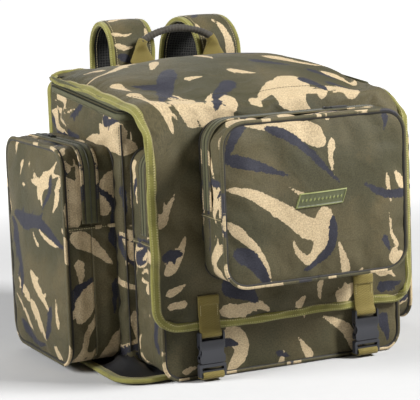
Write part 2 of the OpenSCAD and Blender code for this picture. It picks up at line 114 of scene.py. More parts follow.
class Tree:
    """Short-hand for building a material's nodes."""

    def __init__(self, name):
        self.mat = bpy.data.materials.new(name)
        self.mat.use_nodes = True
        self.t = self.mat.node_tree
        self.bsdf = self.t.nodes["Principled BSDF"]

    def put(self, socket, value):
        if isinstance(value, bpy.types.NodeSocket):
            self.t.links.new(value, socket)
        elif isinstance(value, (tuple, list)) and len(value) == 3 and socket.type == "RGBA":
            socket.default_value = (*value, 1)
        else:
            socket.default_value = value

    def node(self, kind, inputs=None, **props):
        n = self.t.nodes.new("ShaderNode" + kind)
        for k, v in props.items():
            setattr(n, k, v)
        for k, v in (inputs or {}).items():
            self.put(n.inputs[k], v)
        return n

    def math(self, op, a, b=0.0, c=0.0):
        return self.node("Math", {0: a, 1: b, 2: c}, operation=op).outputs[0]

    def attr(self, name, out="Vector"):
        return self.node("Attribute", attribute_name=name).outputs[out]

    def noise(self, vec, scale, detail=2.0, rough=0.5):
        return self.node("TexNoise", {"Vector": vec, "Scale": scale, "Detail": detail,
                                      "Roughness": rough}).outputs["Fac"]

    def ramp(self, x, lo, hi):
        return self.node("MapRange", {0: x, 1: lo, 2: hi, 3: 0.0, 4: 1.0},
                         interpolation_type="SMOOTHSTEP").outputs[0]

    def mix(self, f, a, b, mode="MIX"):
        n = self.node("Mix", data_type="RGBA", blend_type=mode)
        self.put(n.inputs[0], f)
        self.put(n.inputs[6], a)
        self.put(n.inputs[7], b)
        return n.outputs[2]

    def xy(self, vec):
        n = self.node("SeparateXYZ", {0: vec})
        return n.outputs[0], n.outputs[1]

    def wave(self, x, per_metre):
        """A sine along x, from 0 to 1."""
        s = self.math("SINE", self.math("MULTIPLY", x, per_metre * 2 * math.pi))
        return self.math("MULTIPLY_ADD", s, 0.5, 0.5)

    def finish(self, color, rough, height=None, depth=0.0003, spec=0.35, **extra):
        self.put(self.bsdf.inputs["Base Color"], color)
        self.put(self.bsdf.inputs["Roughness"], rough)
        self.put(self.bsdf.inputs["Specular IOR Level"], spec)
        for k, v in extra.items():
            self.put(self.bsdf.inputs[k.replace("_", " ")], v)
        if height is not None:
            b = self.node("Bump", {"Height": height, "Distance": depth, "Strength": 0.8})
            self.put(self.bsdf.inputs["Normal"], b.outputs[0])
        return self.mat


def srgb(r, g, b):
    return tuple(((c / 255 + 0.055) / 1.055) ** 2.4 if c > 10 else c / 255 / 12.92 for c in (r, g, b))


def plain_weave(t, flat, threads=900):
    """Height of a plain weave: warp and weft threads passing over and under."""
    x, y = t.xy(flat)
    a, b = t.wave(x, threads), t.wave(y, threads)
    pick = t.wave(t.math("ADD", x, y), threads / 2)
    return t.math("MULTIPLY_ADD", t.math("SUBTRACT", a, b), t.math("SUBTRACT", pick, 0.5), 0.5)


def camo_material():
    t = Tree("camo")
    flat = t.attr("flat")
    tan, navy = t.attr("tan", "Fac"), t.attr("navy", "Fac")
    rag = t.math("MULTIPLY_ADD", t.noise(flat, 170, 3, 0.65), 5.2, -2.6)
    rag2 = t.math("MULTIPLY_ADD", t.noise(flat, 220, 3, 0.65), 7.0, -3.5)
    tan_m = t.ramp(t.math("ADD", tan, rag), -0.35, 0.35)
    navy_m = t.ramp(t.math("ADD", navy, rag2), -0.4, 0.4)
    big = t.noise(flat, 7, 2)
    fine = t.noise(flat, 60, 4, 0.7)
    base = t.mix(t.ramp(big, 0.38, 0.62), srgb(64, 61, 41), srgb(81, 74, 51))
    # folds and handling leave the cloth browner in places
    worn = t.math("MULTIPLY", t.ramp(t.noise(flat, 16, 5, 0.7), 0.5, 0.75), 0.5)
    base = t.mix(worn, base, srgb(96, 84, 56))
    tanc = t.mix(fine, srgb(170, 149, 115), srgb(194, 175, 141))
    navc = t.mix(fine, srgb(34, 34, 41), srgb(52, 52, 62))
    col = t.mix(tan_m, base, tanc)
    col = t.mix(navy_m, col, navc)
    speck = t.noise(flat, 1400, 2, 0.6)
    slub = t.ramp(t.noise(flat, 480, 3, 0.75), 0.3, 0.7)
    for amount, grey in ((0.42, speck), (0.28, slub)):
        shade = t.node("CombineXYZ", {0: grey, 1: grey, 2: grey}).outputs[0]
        col = t.mix(amount, col, shade, "OVERLAY")
    # handling rubs the print paler where the cloth stands proud
    edge = t.ramp(t.node("NewGeometry").outputs["Pointiness"], 0.52, 0.62)
    col = t.mix(t.math("MULTIPLY", edge, 0.18), col, srgb(170, 160, 125))
    weave = plain_weave(t, flat)
    h = t.math("MULTIPLY_ADD", t.noise(flat, 45, 3), 2.5, weave)
    crease = t.math("ABSOLUTE", t.math("SUBTRACT", t.noise(flat, 13, 3, 0.55), 0.5))
    h = t.math("MULTIPLY_ADD", t.math("SUBTRACT", 1.0, t.ramp(crease, 0.0, 0.09)), 1.8, h)
    rough = t.math("MULTIPLY_ADD", fine, 0.18, 0.54)
    return t.finish(col, rough, h, 0.00035, 0.22, Sheen_Weight=0.03)


def tape_material(name, dark, light, ribs=700):
    """Woven tape: ribs across, a row of stitches along each edge."""
    t = Tree(name)
    flat = t.attr("flat")
    x, y = t.xy(flat)
    rib = t.wave(t.math("MULTIPLY_ADD", y, 0.6, x), ribs)
    n = t.noise(flat, 400, 3, 0.7)
    edge = t.math("ABSOLUTE", y)
    row = t.ramp(t.math("ABSOLUTE", t.math("SUBTRACT", edge, 0.0032)), 0.0009, 0.0004)
    dash = t.math("MULTIPLY", row, t.ramp(t.wave(x, 310), 0.35, 0.5))
    col = t.mix(t.math("MULTIPLY_ADD", n, 0.8, t.math("MULTIPLY", rib, 0.25)), dark, light)
    col = t.mix(t.ramp(t.noise(flat, 22, 4, 0.7), 0.45, 0.75), col, srgb(92, 86, 44))
    col = t.mix(t.math("MULTIPLY", dash, 0.75), col, srgb(176, 170, 112))
    h = t.math("ADD", t.math("MULTIPLY", rib, 0.5), t.math("MULTIPLY", dash, 1.6))
    h = t.math("MULTIPLY_ADD", n, 0.8, h)
    return t.finish(col, 0.72, h, 0.0004, 0.25, Sheen_Weight=0.15)


def webbing_material(name, dark, light):
    """Heavy webbing: chevron threads, with fine ribs along its length."""
    t = Tree(name)
    flat = t.attr("flat")
    x, y = t.xy(flat)
    zig = t.math("ABSOLUTE", t.math("MULTIPLY_ADD", t.wave(y, 110), 2.0, -1.0))
    rib = t.wave(t.math("MULTIPLY_ADD", zig, 0.0016, x), 420)
    col_ = t.wave(y, 700)
    n = t.noise(flat, 350, 3, 0.7)
    f = t.math("MULTIPLY_ADD", rib, 0.35, t.math("MULTIPLY", n, 0.6))
    col = t.mix(f, dark, light)
    h = t.math("ADD", rib, t.math("MULTIPLY", col_, 0.5))
    return t.finish(col, 0.68, h, 0.00035, 0.3, Sheen_Weight=0.15)


def cloth_material(name, a, b, threads=800, rough=0.75, depth=0.0003, spec=0.25):
    t = Tree(name)
    flat = t.attr("flat")
    n = t.noise(flat, 120, 4, 0.7)
    h = t.math("MULTIPLY_ADD", n, 1.2, plain_weave(t, flat, threads))
    return t.finish(t.mix(n, a, b), rough, h, depth, spec, Sheen_Weight=0.1)


def mesh_material():
    """Knitted spacer mesh with round holes in a honeycomb."""
    t = Tree("spacer_mesh")
    flat = t.attr("flat")
    v = t.node("TexVoronoi", {"Vector": flat, "Scale": 240.0, "Randomness": 0.15}).outputs["Distance"]
    hole = t.ramp(v, 0.42, 0.30)
    n = t.noise(flat, 90, 3)
    col = t.mix(n, srgb(34, 34, 33), srgb(58, 58, 55))
    # the holes are painted near black: painted shade inside them
    col = t.mix(hole, col, srgb(10, 10, 10))
    return t.finish(col, 0.8, t.math("SUBTRACT", 1.0, hole), 0.0006, 0.2)


def hard_material(name, a, b, rough=0.4, grain=900, depth=0.00012, metal=0.0, spec=0.5):
    """Moulded plastic, rubber or enamelled metal, with grain and paler worn edges."""
    t = Tree(name)
    pos = t.node("TexCoord").outputs["Object"]
    n = t.noise(pos, 60, 4, 0.65)
    g = t.noise(pos, grain, 3, 0.6)
    edge = t.ramp(t.node("NewGeometry").outputs["Pointiness"], 0.53, 0.66)
    col = t.mix(n, a, b)
    col = t.mix(t.math("MULTIPLY", edge, 0.35), col, tuple(min(1, 2.6 * c + 0.03) for c in b))
    r = t.math("MULTIPLY_ADD", n, 0.2, rough - 0.1)
    return t.finish(col, r, g, depth, spec, Metallic=metal)


MAT = {
    "camo": camo_material(),
    "tape": tape_material("binding_tape", srgb(92, 87, 34), srgb(146, 142, 74)),
    "webbing": webbing_material("webbing", srgb(84, 70, 22), srgb(134, 120, 56)),
    "ziptape": cloth_material("zip_tape", srgb(60, 59, 38), srgb(88, 87, 58), 900, 0.6),
    "coil": hard_material("zip_coil", srgb(38, 40, 26), srgb(56, 58, 40), 0.5),
    "lining": cloth_material("lining", srgb(40, 40, 36), srgb(54, 54, 48), 700, 0.6),
    # dark cloth for the welts, also used for the cords that are painted shade in grooves and gaps
    "dark": cloth_material("dark_cloth", srgb(28, 26, 22), srgb(44, 41, 34), 700, 0.6),
    "grip": cloth_material("grip_cloth", srgb(50, 46, 40), srgb(74, 70, 62), 500, 0.7, 0.0005),
    "mesh": mesh_material(),
    "pvc": hard_material("pvc", srgb(20, 20, 21), srgb(34, 34, 36), 0.46, 700, 0.0003),
    "board": hard_material("board", srgb(120, 120, 115), srgb(150, 150, 145), 0.6),
    "plastic": hard_material("buckle_plastic", srgb(25, 26, 30), srgb(38, 39, 44), 0.42),
    "metal": hard_material("slider_metal", srgb(26, 26, 26), srgb(60, 60, 58), 0.35, 900, 0.0001, 0.6),
    "rubber": hard_material("pull_rubber", srgb(24, 24, 24), srgb(40, 40, 40), 0.6),
    "badge": hard_material("badge_rubber", srgb(58, 60, 36), srgb(84, 88, 50), 0.5),
    "badge_rim": hard_material("badge_rim", srgb(104, 110, 58), srgb(132, 136, 80), 0.5),
    "thread": cloth_material("thread", srgb(150, 138, 100), srgb(196, 182, 140), 2000, 0.7),
    "dark_thread": cloth_material("dark_thread", srgb(60, 58, 36), srgb(92, 88, 56), 2000, 0.7),
}


# ---------------------------------------------------------------- mesh helpers

def make(name, verts, faces, flat=None, mat="camo", inner=None, thick=0.0, subdiv=0, smooth=True):
    """A mesh object from millimetre points. flat holds each point's place on its cloth, in millimetres."""
    me = bpy.data.meshes.new(name)
    me.from_pydata([tuple(map(float, v)) for v in np.asarray(verts) * MM], [], faces)
    me.validate()
    if smooth:
        me.shade_smooth()
    if flat is None:
        flat = verts
    flat = np.asarray(flat, float)
    if flat.shape[1] == 2:
        flat = np.c_[flat, np.zeros(len(flat))]
    me.attributes.new("flat", "FLOAT_VECTOR", "POINT").data.foreach_set("vector", (flat * MM).ravel())
    ob = bpy.data.objects.new(name, me)
    scene.collection.objects.link(ob)
    me.materials.append(MAT[mat])
    if inner:
        me.materials.append(MAT[inner])
    ob["thick"], ob["subdiv"], ob["mat"] = thick, subdiv, mat
    return ob


def coords(ob):
    co = np.empty(len(ob.data.vertices) * 3)
    ob.data.vertices.foreach_get("co", co)
    return co.reshape(-1, 3) * 1000


def set_coords(ob, co):
    ob.data.vertices.foreach_set("co", (np.asarray(co) * MM).ravel())
    ob.data.update()


def normals(ob):
    ob.data.update()
    n = np.empty(len(ob.data.vertices) * 3)
    ob.data.vertices.foreach_get("normal", n)
    return n.reshape(-1, 3)


def bake(ob):
    """Gives the piece its subdivision and cloth thickness for good."""
    if ob["subdiv"]:
        m = ob.modifiers.new("s", "SUBSURF")
        m.levels = m.render_levels = ob["subdiv"]
        m.boundary_smooth = "PRESERVE_CORNERS"
    if ob["thick"]:
        m = ob.modifiers.new("t", "SOLIDIFY")
        m.thickness = abs(ob["thick"]) * MM
        m.offset = -1 if ob["thick"] > 0 else 1
        if len(ob.data.materials) > 1:
            m.material_offset = 1
            m.material_offset_rim = 1
    dg = bpy.context.evaluated_depsgraph_get()
    me = bpy.data.meshes.new_from_object(ob.evaluated_get(dg))
    old, ob.data = ob.data, me
    ob.modifiers.clear()
    bpy.data.meshes.remove(old)
    me.name = ob.name


def quads(rows, cols, close_cols=False, close_rows=False, flip=False):
    """Faces of a grid of points that is stored row by row."""
    f = []
    for j in range(rows if close_rows else rows - 1):
        for i in range(cols if close_cols else cols - 1):
            a, b = j * cols + i, j * cols + (i + 1) % cols
            c, d = (j + 1) % rows * cols + (i + 1) % cols, (j + 1) % rows * cols + i
            f.append((a, d, c, b) if flip else (a, b, c, d))
    return f


def slab_faces(rows, cols, flip=False):
    """Faces of a slab: the same grid twice, one after the other, closed along the rim."""
    n = rows * cols
    top = quads(rows, cols, flip=flip)
    rim = (list(range(cols)) + [j * cols + cols - 1 for j in range(1, rows)]
           + [(rows - 1) * cols + i for i in range(cols - 2, -1, -1)]
           + [j * cols for j in range(rows - 2, 0, -1)])
    sides = [(a, a + n, b + n, b) for a, b in zip(rim, rim[1:] + rim[:1])]
    return top + [tuple(i + n for i in f[::-1]) for f in top] + [f[::-1] if flip else f for f in sides]


def unit(v):
    return v / np.maximum(np.linalg.norm(v, axis=-1, keepdims=True), 1e-9)


def tangents(p, closed):
    if closed:
        return unit(np.roll(p, -1, 0) - np.roll(p, 1, 0))
    return unit(np.gradient(p, axis=0))


def arc_len(p):
    """How far along a path each of its points lies."""
    d = np.linalg.norm(np.diff(p, axis=0), axis=1)
    return np.r_[0, np.cumsum(d)]


def along(values, s, q):
    """Values that are known at distances s of a path, read off at distances q."""
    return np.stack([np.interp(q, s, column) for column in values.T], 1)


def sweep(name, path, side, profile, mat, closed=False):
    """Carries a closed outline along a path. side is the direction of the outline's first axis."""
    path, side = np.asarray(path, float), np.asarray(side, float)
    t = tangents(path, closed)
    side = np.broadcast_to(side, path.shape)
    side = unit(side - (side * t).sum(1, keepdims=True) * t)
    up = np.cross(t, side)
    prof = np.asarray(profile, float)
    n, k = len(path), prof.shape[-2]
    if prof.ndim == 2:
        prof = np.broadcast_to(prof, (n, k, 2))
    v = path[:, None] + prof[..., :1] * side[:, None] + prof[..., 1:] * up[:, None]
    s = arc_len(path)
    flat = np.stack([np.broadcast_to(s[:, None], (n, k)), prof[..., 0]], -1)
    faces = quads(n, k, True, closed)
    if not closed:
        faces += [tuple(range(k))[::-1], tuple(range((n - 1) * k, n * k))]
    ob = make(name, v.reshape(-1, 3), faces, flat.reshape(-1, 2), mat)
    bm = bmesh.new()
    bm.from_mesh(ob.data)
    bmesh.ops.recalc_face_normals(bm, faces=bm.faces)
    bm.to_mesh(ob.data)
    bm.free()
    return ob


def circle(r, n=10):
    a = np.arange(n) * 2 * math.pi / n
    return np.c_[r * np.cos(a), r * np.sin(a)]


def band(w, t):
    """Outline of a flat band with rounded edges: width w along side, thickness t."""
    h, q = w / 2, t / 2
    under = [(-h, -q * 0.45), (-h + q * 0.8, -q), (-w / 6, -q),
             (w / 6, -q), (h - q * 0.8, -q), (h, -q * 0.45)]
    return under + [(x, -y) for x, y in under[::-1]]


def smooth_path(pts, step=4.0, closed=False, rounds=3):
    """A path with its corners cut, at an even spacing."""
    p = np.asarray(pts, float)
    for _ in range(rounds):
        q = np.roll(p, -1, 0) if closed else p[1:]
        a = p if closed else p[:-1]
        cut = np.stack([0.75 * a + 0.25 * q, 0.25 * a + 0.75 * q], 1).reshape(-1, p.shape[1])
        p = cut if closed else np.vstack([p[:1], cut, p[-1:]])
    if closed:
        p = np.vstack([p, p[:1]])
    s = arc_len(p)
    n = max(3, int(round(s[-1] / step)) + 1)
    q = np.linspace(0, s[-1], n)
    out = along(p, s, q)
    return out[:-1] if closed else out


def rr_loop(w, z0, z1, r, step):
    """A rectangle with round corners, anticlockwise from its bottom middle: points, outward normals and
    distances along it. r is one radius or four."""
    h, cz = z1 - z0, (z0 + z1) / 2
    p, n = [], []
    corners = ((1, -1, -90), (1, 1, 0), (-1, 1, 90), (-1, -1, 180))
    for q, (sx, sz, a0) in zip(np.broadcast_to(r, 4), corners):
        for a in np.radians(np.linspace(a0, a0 + 90, 9)):
            p.append((sx * (w / 2 - q) + q * math.cos(a), cz + sz * (h / 2 - q) + q * math.sin(a)))
            n.append((math.cos(a), math.sin(a)))
    p, n = np.array(p), np.array(n)
    p = np.vstack([[(0, z0)], p, [(0, z0)]])
    n = np.vstack([[(0, -1)], n, [(0, -1)]])
    s = arc_len(p)
    q = np.linspace(0, s[-1], int(s[-1] / step) + 1)[:-1]
    return along(p, s, q), unit(along(n, s, q)), q


NOISE_GRID = 64


def noise2(p, scale, seed):
    """Smooth value noise of 2-D points, from -1 to 1."""
    rs = np.random.RandomState(seed)
    g = rs.uniform(-1, 1, (NOISE_GRID, NOISE_GRID))
    q = np.asarray(p) / scale + 1000
    i = np.floor(q).astype(int)
    f = q - i
    f = f * f * (3 - 2 * f)
    x0, y0 = (i % NOISE_GRID).T
    x1, y1 = ((i + 1) % NOISE_GRID).T
    a = g[x0, y0] * (1 - f[:, 0]) + g[x1, y0] * f[:, 0]
    b = g[x0, y1] * (1 - f[:, 0]) + g[x1, y1] * f[:, 0]
    return a * (1 - f[:, 1]) + b * f[:, 1]


def seg_dist(p, a, b):
    """Distance of points from a segment, and how far along it they are."""
    a, b = np.asarray(a, float), np.asarray(b, float)
    d = b - a
    t = np.clip(((p - a) @ d) / max(d @ d, 1e-9), 0, 1)
    return np.linalg.norm(p - a - t[:, None] * d, axis=1), t


# ---------------------------------------------------------------- camouflage print

OUTSIDE = -60.0     # the print's depth where no stroke is near, in millimetres


def stroke(p, pts, w, tip=0.5, rough=1.0):
    """How far inside a brush stroke points lie. It is blunt at its start and drawn out at its end."""
    pts = np.asarray(pts, float)
    s = arc_len(pts)
    rag = 1 + rough * (0.26 * noise2(p, 15, 71) + 0.07 * noise2(p, 5, 72))
    out = np.full(len(p), OUTSIDE)
    for k in range(len(pts) - 1):
        d, t = seg_dist(p, pts[k], pts[k + 1])
        u = (s[k] + t * (s[k + 1] - s[k])) / s[-1]
        width = w * np.minimum(1, (u + 0.02) * 6) ** 0.5 * np.maximum(1 - u, 0) ** tip
        out = np.maximum(out, width * rag - d)
    return out


def swoosh(start, angle, length, bend):
    """A line that bends more and more as it goes."""
    pts, a, n = [np.array(start, float)], angle, 9
    for k in range(n):
        pts.append(pts[-1] + length / n * np.array([math.cos(a), math.sin(a)]))
        a += bend / n * (0.4 + 1.2 * k / n)
    return pts


def with_teeth(strokes, seed, grow=1.0):
    """Adds short spikes along one side of the wider strokes, so that their edges look torn."""
    rs = random.Random(seed)
    out = []
    for kind, pts, w, tip in strokes:
        out.append((kind, pts, w * grow, tip))
        if w < 7:
            continue
        q = smooth_path(pts, 6.0, rounds=2)
        side = rs.choice((-1, 1))
        for u in (0.2, 0.42, 0.64):
            k = int(u * (len(q) - 2))
            x, y = (q[k + 1] - q[k]) / (np.linalg.norm(q[k + 1] - q[k]) + 1e-9)
            a = side * rs.uniform(0.6, 1.2)
            d = np.array([x * math.cos(a) - y * math.sin(a), x * math.sin(a) + y * math.cos(a)])
            start = q[k] + d * w * 0.3
            out.append((kind, [start, start + d * w * rs.uniform(1.1, 2.0)], w * 0.42, 0.8))
    return out


PRINT_CELL = 70      # side of a square that holds at most one generated group of strokes, in millimetres


def camo(ob, seed, own=(), clear=()):
    """Prints the camouflage: tan brush strokes in small groups, each with dark strokes along it.
    own holds strokes drawn one by one, and clear the circles where none is generated: (x, y, radius)."""
    me = ob.data
    n = len(me.vertices)
    flat = np.empty(n * 3)
    me.attributes["flat"].data.foreach_get("vector", flat)
    p = flat.reshape(-1, 3)[:, :2] * 1000
    tan, navy = np.full(n, OUTSIDE), np.full(n, OUTSIDE)
    drawn = p + np.stack([noise2(p, 9, 62), noise2(p, 9, 64)], 1) * 0.9
    p = p + np.stack([noise2(p, 34, k) * 5 + noise2(p, 12, k + 1) * 2 for k in (61, 63)], 1)
    lo, hi = p.min(0) - 20, p.max(0) + 20
    rs = random.Random(seed)
    nx, ny = (max(1, int(side / PRINT_CELL)) for side in hi - lo)
    for i in range(nx):
        for j in range(ny):
            if rs.random() > 0.92:
                continue
            c = lo + (hi - lo) * ((i + rs.uniform(0.1, 0.9)) / nx, (j + rs.uniform(0.1, 0.9)) / ny)
            if any(np.linalg.norm(c - q[:2]) < q[2] for q in clear):
                continue
            flow = -0.9 + 0.9 * math.sin(c[0] / 95 + seed) + 0.7 * math.cos(c[1] / 80 + 2 * seed)
            length, bend, w = rs.uniform(45, 125), rs.uniform(-1.5, 1.5), rs.uniform(6, 15)
            side = np.array([-math.sin(flow), math.cos(flow)])
            near = np.linalg.norm(p - c, axis=1) < 190
            if not near.any():
                continue
            q = p[near]
            a, b = tan[near], navy[near]
            for k in range(rs.choice((1, 2, 3, 3))):
                at = c + side * k * rs.uniform(0.9, 1.5) * w
                pts = swoosh(at, flow + rs.uniform(-0.25, 0.25), length * rs.uniform(0.55, 1.0), bend)
                a = np.maximum(a, stroke(q, pts, w * rs.uniform(0.6, 1.1), rs.uniform(0.5, 1.1)))
            if rs.random() < 0.7:
                at = c - side * w * rs.uniform(0.5, 1.3)
                pts = swoosh(at, flow + rs.uniform(-0.3, 0.3), length * rs.uniform(0.6, 1.1), bend)
                b = np.maximum(b, stroke(q, pts, w * rs.uniform(0.4, 0.8), 0.6))
                pts = swoosh(at, flow + rs.uniform(0.5, 1.1), length * rs.uniform(0.3, 0.6), -bend)
                b = np.maximum(b, stroke(q, pts, w * rs.uniform(0.25, 0.5), 0.8))
            if rs.random() < 0.5:
                pts = swoosh(c + side * w, flow + rs.uniform(0.2, 0.7), length * 0.7, bend * 0.5)
                a = np.minimum(a, -stroke(q, pts, w * 0.45, 0.4))
            tan[near], navy[near] = a, b
    for kind, pts, w, tip in own:
        q = smooth_path(pts, 6.0, rounds=2)
        v = stroke(drawn, q, w, tip, 0.45)
        if kind == "tan":
            tan = np.maximum(tan, v)
        elif kind == "navy":
            navy = np.maximum(navy, v)
        else:
            tan = np.minimum(tan, -v)
    for name, value in (("tan", tan), ("navy", navy)):
        at = me.attributes.get(name) or me.attributes.new(name, "FLOAT", "POINT")
        at.data.foreach_set("value", value.astype(np.float32))


# ---------------------------------------------------------------- places taken from the frame

joints = {j["name"]: j for j in frame["record"]["behaviour"]["joints"]}


def at(name):
    """Where a joint lies, in millimetres."""
    return np.array(joints[name]["pos_m"]) * 1000


hinge, fold = at("lid_open"), at("flap_open")
SIDE_X = box("side_panel_right")[1][0]
BACK = hinge[1]
SEAM = box("front_panel")[0][1]
FLAP, FLAP_BOTTOM = box("flap_panel")[0][1:]
LID_X = box("flap_panel")[1][0]
REAR = box("back_panel")[1][1]


def edge(y):
    """Height of the lid's edge, which falls from the hinge to the fold."""
    return fold[2] + 2.5 + (hinge[2] - fold[2]) * (y - fold[1]) / (hinge[1] - fold[1])


def ease(x):
    x = np.clip(x, 0, 1)
    return x * x * (3 - 2 * x)


STRAP_X = abs(at("buckle_left_swing")[0])
SOFT = []


def soften(ob, pin, press, swell, cap, keep=None):
    """Queues a piece for the cloth simulation. pin holds each point: 1 is sewn down, 0 is free."""
    g = ob.vertex_groups.new(name="pin")
    for i, w in enumerate(pin):
        if w > 0:
            g.add([i], float(w), "REPLACE")
    SOFT.append((ob, coords(ob), press, swell, cap, keep))


def run_cloth(frames=20):
    """Simulates every queued piece at once, then applies the result. No point moves further than its cap."""
    for ob, _, press, swell, _, _ in SOFT:
        m = ob.modifiers.new("Cloth", "CLOTH")
        s = m.settings
        s.quality, s.mass, s.air_damping = 5, 0.25, 3
        s.tension_stiffness = s.compression_stiffness = 18
        s.shear_stiffness, s.bending_stiffness = 8, 2.0
        s.tension_damping = s.compression_damping = s.shear_damping = 12
        s.use_pressure, s.uniform_pressure_force = True, press
        s.shrink_min = -swell
        s.vertex_group_mass, s.pin_stiffness = "pin", 1.0
        s.effector_weights.gravity = 0
        m.collision_settings.use_collision = False
        m.point_cache.frame_start, m.point_cache.frame_end = 1, frames
    for f in range(1, frames + 1):
        scene.frame_set(f)
    dg = bpy.context.evaluated_depsgraph_get()
    for ob, co, _, _, cap, keep in SOFT:
        ev = ob.evaluated_get(dg)
        new = np.empty(len(ev.data.vertices) * 3)
        ev.data.vertices.foreach_get("co", new)
        d = new.reshape(-1, 3) * 1000 - co
        far = np.linalg.norm(d, axis=1, keepdims=True)
        d *= np.minimum(1, cap * np.tanh(far / cap) / np.maximum(far, 1e-6))
        ob.modifiers.clear()
        new = co + d
        set_coords(ob, keep(new) if keep else new)
    scene.frame_set(1)


# ---------------------------------------------------------------- lid and flap

NI = 57                     # points across the sheet
NL, NA, NF = 50, 8, 42      # rows on the lid, round its front edge and down the flap
CROWN = 28                  # how far the lid rises above its edge


def round_corner(dx, dz, r):
    """Maps a square corner, dx and dz from 0 to r, onto a quarter disc."""
    return (dx * np.sqrt(np.maximum(1 - dz ** 2 / (2 * r * r), 0)),
            dz * np.sqrt(np.maximum(1 - dx ** 2 / (2 * r * r), 0)))


def lid_sheet():
    """The lid and flap as one sheet: its points, and where they lie on the flat cloth."""
    u = np.linspace(-1, 1, NI)
    near = np.where(u < 0, 0.60, 0.77)
    rad = 19 + 58 * ease((np.abs(u) - near) / (1.0 - near))
    yc = FLAP + rad
    rows = []
    for v in np.linspace(0, 1, NL):
        y = BACK - 1 + (yc - BACK + 1) * v
        vv = (BACK - 1 - y) / (BACK - 1 - fold[1])
        rise = CROWN * np.sin(math.pi * vv) ** 1.4 * (1 - np.abs(u + 0.08) ** 2.4 * 0.86 - 0.14 * u ** 8)
        rows.append(np.c_[u * LID_X, y, edge(y) + rise])
    top = rows[-1][:, 2]
    for a in np.linspace(0, math.pi / 2, NA + 1)[1:]:
        rows.append(np.c_[u * LID_X, yc - rad * math.sin(a), top - rad * (1 - math.cos(a))])
    z1 = rows[-1][:, 2]
    for v in np.linspace(0, 1, NF + 1)[1:]:
        rows.append(np.c_[u * LID_X, np.full(NI, FLAP), z1 + (FLAP_BOTTOM - z1) * v])
    p = np.array(rows)
    s = np.r_[0, np.cumsum(np.linalg.norm(np.diff(p[:, NI // 2], axis=0), axis=1))]
    flat = np.stack(np.broadcast_arrays(p[0, :, 0], -s[:, None]), -1)
    # the flap's bottom corners are round
    r = 34.0
    x, z = p[..., 0], p[..., 2]
    dx, dz = np.abs(x) - (LID_X - r), FLAP_BOTTOM + r - z
    m = (dx > 0) & (dz > 0)
    rx, rz = round_corner(dx, dz, r)
    p[..., 0] = np.where(m, np.sign(x) * (LID_X - r + rx), x)
    p[..., 2] = np.where(m, FLAP_BOTTOM + r - rz, z)
    # slack in the cloth: the flap hangs in shallow waves and its hem ripples
    q = p.reshape(-1, 3)
    f = flat.reshape(-1, 2)
    low = ease((fold[2] - 40 - q[:, 2]) / 120)
    wave = noise2(f, 62, 3) * 2.0 + noise2(f, 24, 4) * 0.7
    q[:, 1] -= low * (1.6 + wave)
    q[:, 2] += low * noise2(f * (1, 0.01), 46, 8) * 2.2 * ease((FLAP_BOTTOM + 60 - q[:, 2]) / 60)
    topside = ease((q[:, 1] - FLAP - 20) / 50)
    inner = ease((LID_X - np.abs(q[:, 0])) / 40)
    q[:, 2] += topside * (noise2(f, 75, 5) * 3.0 + noise2(f, 30, 6) * 0.9) * inner
    q[:, 2] -= topside * 0.5 * np.maximum(np.abs(q[:, 0]) - LID_X + 14, 0)
    q[:, 2] += topside * noise2(f * (0.01, 1), 58, 9) * 3.0 * ease((np.abs(q[:, 0]) - LID_X + 40) / 40)
    return p, flat


def sheet_keep(q):
    """The flap stays in front of the pocket behind it."""
    low = q[:, 2] < fold[2] - 22
    q[:, 1] = np.where(low, np.minimum(q[:, 1], FLAP + 0.5), q[:, 1])
    sewn = ease((30 - np.abs(np.abs(q[:, 0]) - STRAP_X)) / 11) * ease((132 - q[:, 2]) / 16)
    q[:, 1] += sewn * (np.maximum(q[:, 1], FLAP - 0.8) - q[:, 1])
    return q


sp, sflat = lid_sheet()
rows, cols = sp.shape[:2]
sheet = make("lid_and_flap_cloth", sp.reshape(-1, 3), quads(rows, cols, flip=True), sflat.reshape(-1, 2),
             inner="lining", thick=3.4, subdiv=1)
pocket_lo, pocket_hi = box("lid_pocket_shell")
POCKET_X = (pocket_lo[0] + pocket_hi[0]) / 2
q = sp.reshape(-1, 3)
jj, ii = np.divmod(np.arange(rows * cols), cols)
pin = ((jj == 0) | (ii == 0) | (ii == cols - 1) | (jj == rows - 1)).astype(float)
behind = (jj > NL + NA) & (np.abs(q[:, 0] - POCKET_X) < 126) & (q[:, 2] > pocket_lo[2] + 6)
pin = np.maximum(pin, behind * 1.0)
soften(sheet, pin, 0.35, 0.022, 8, sheet_keep)


# ---------------------------------------------------------------- main compartment

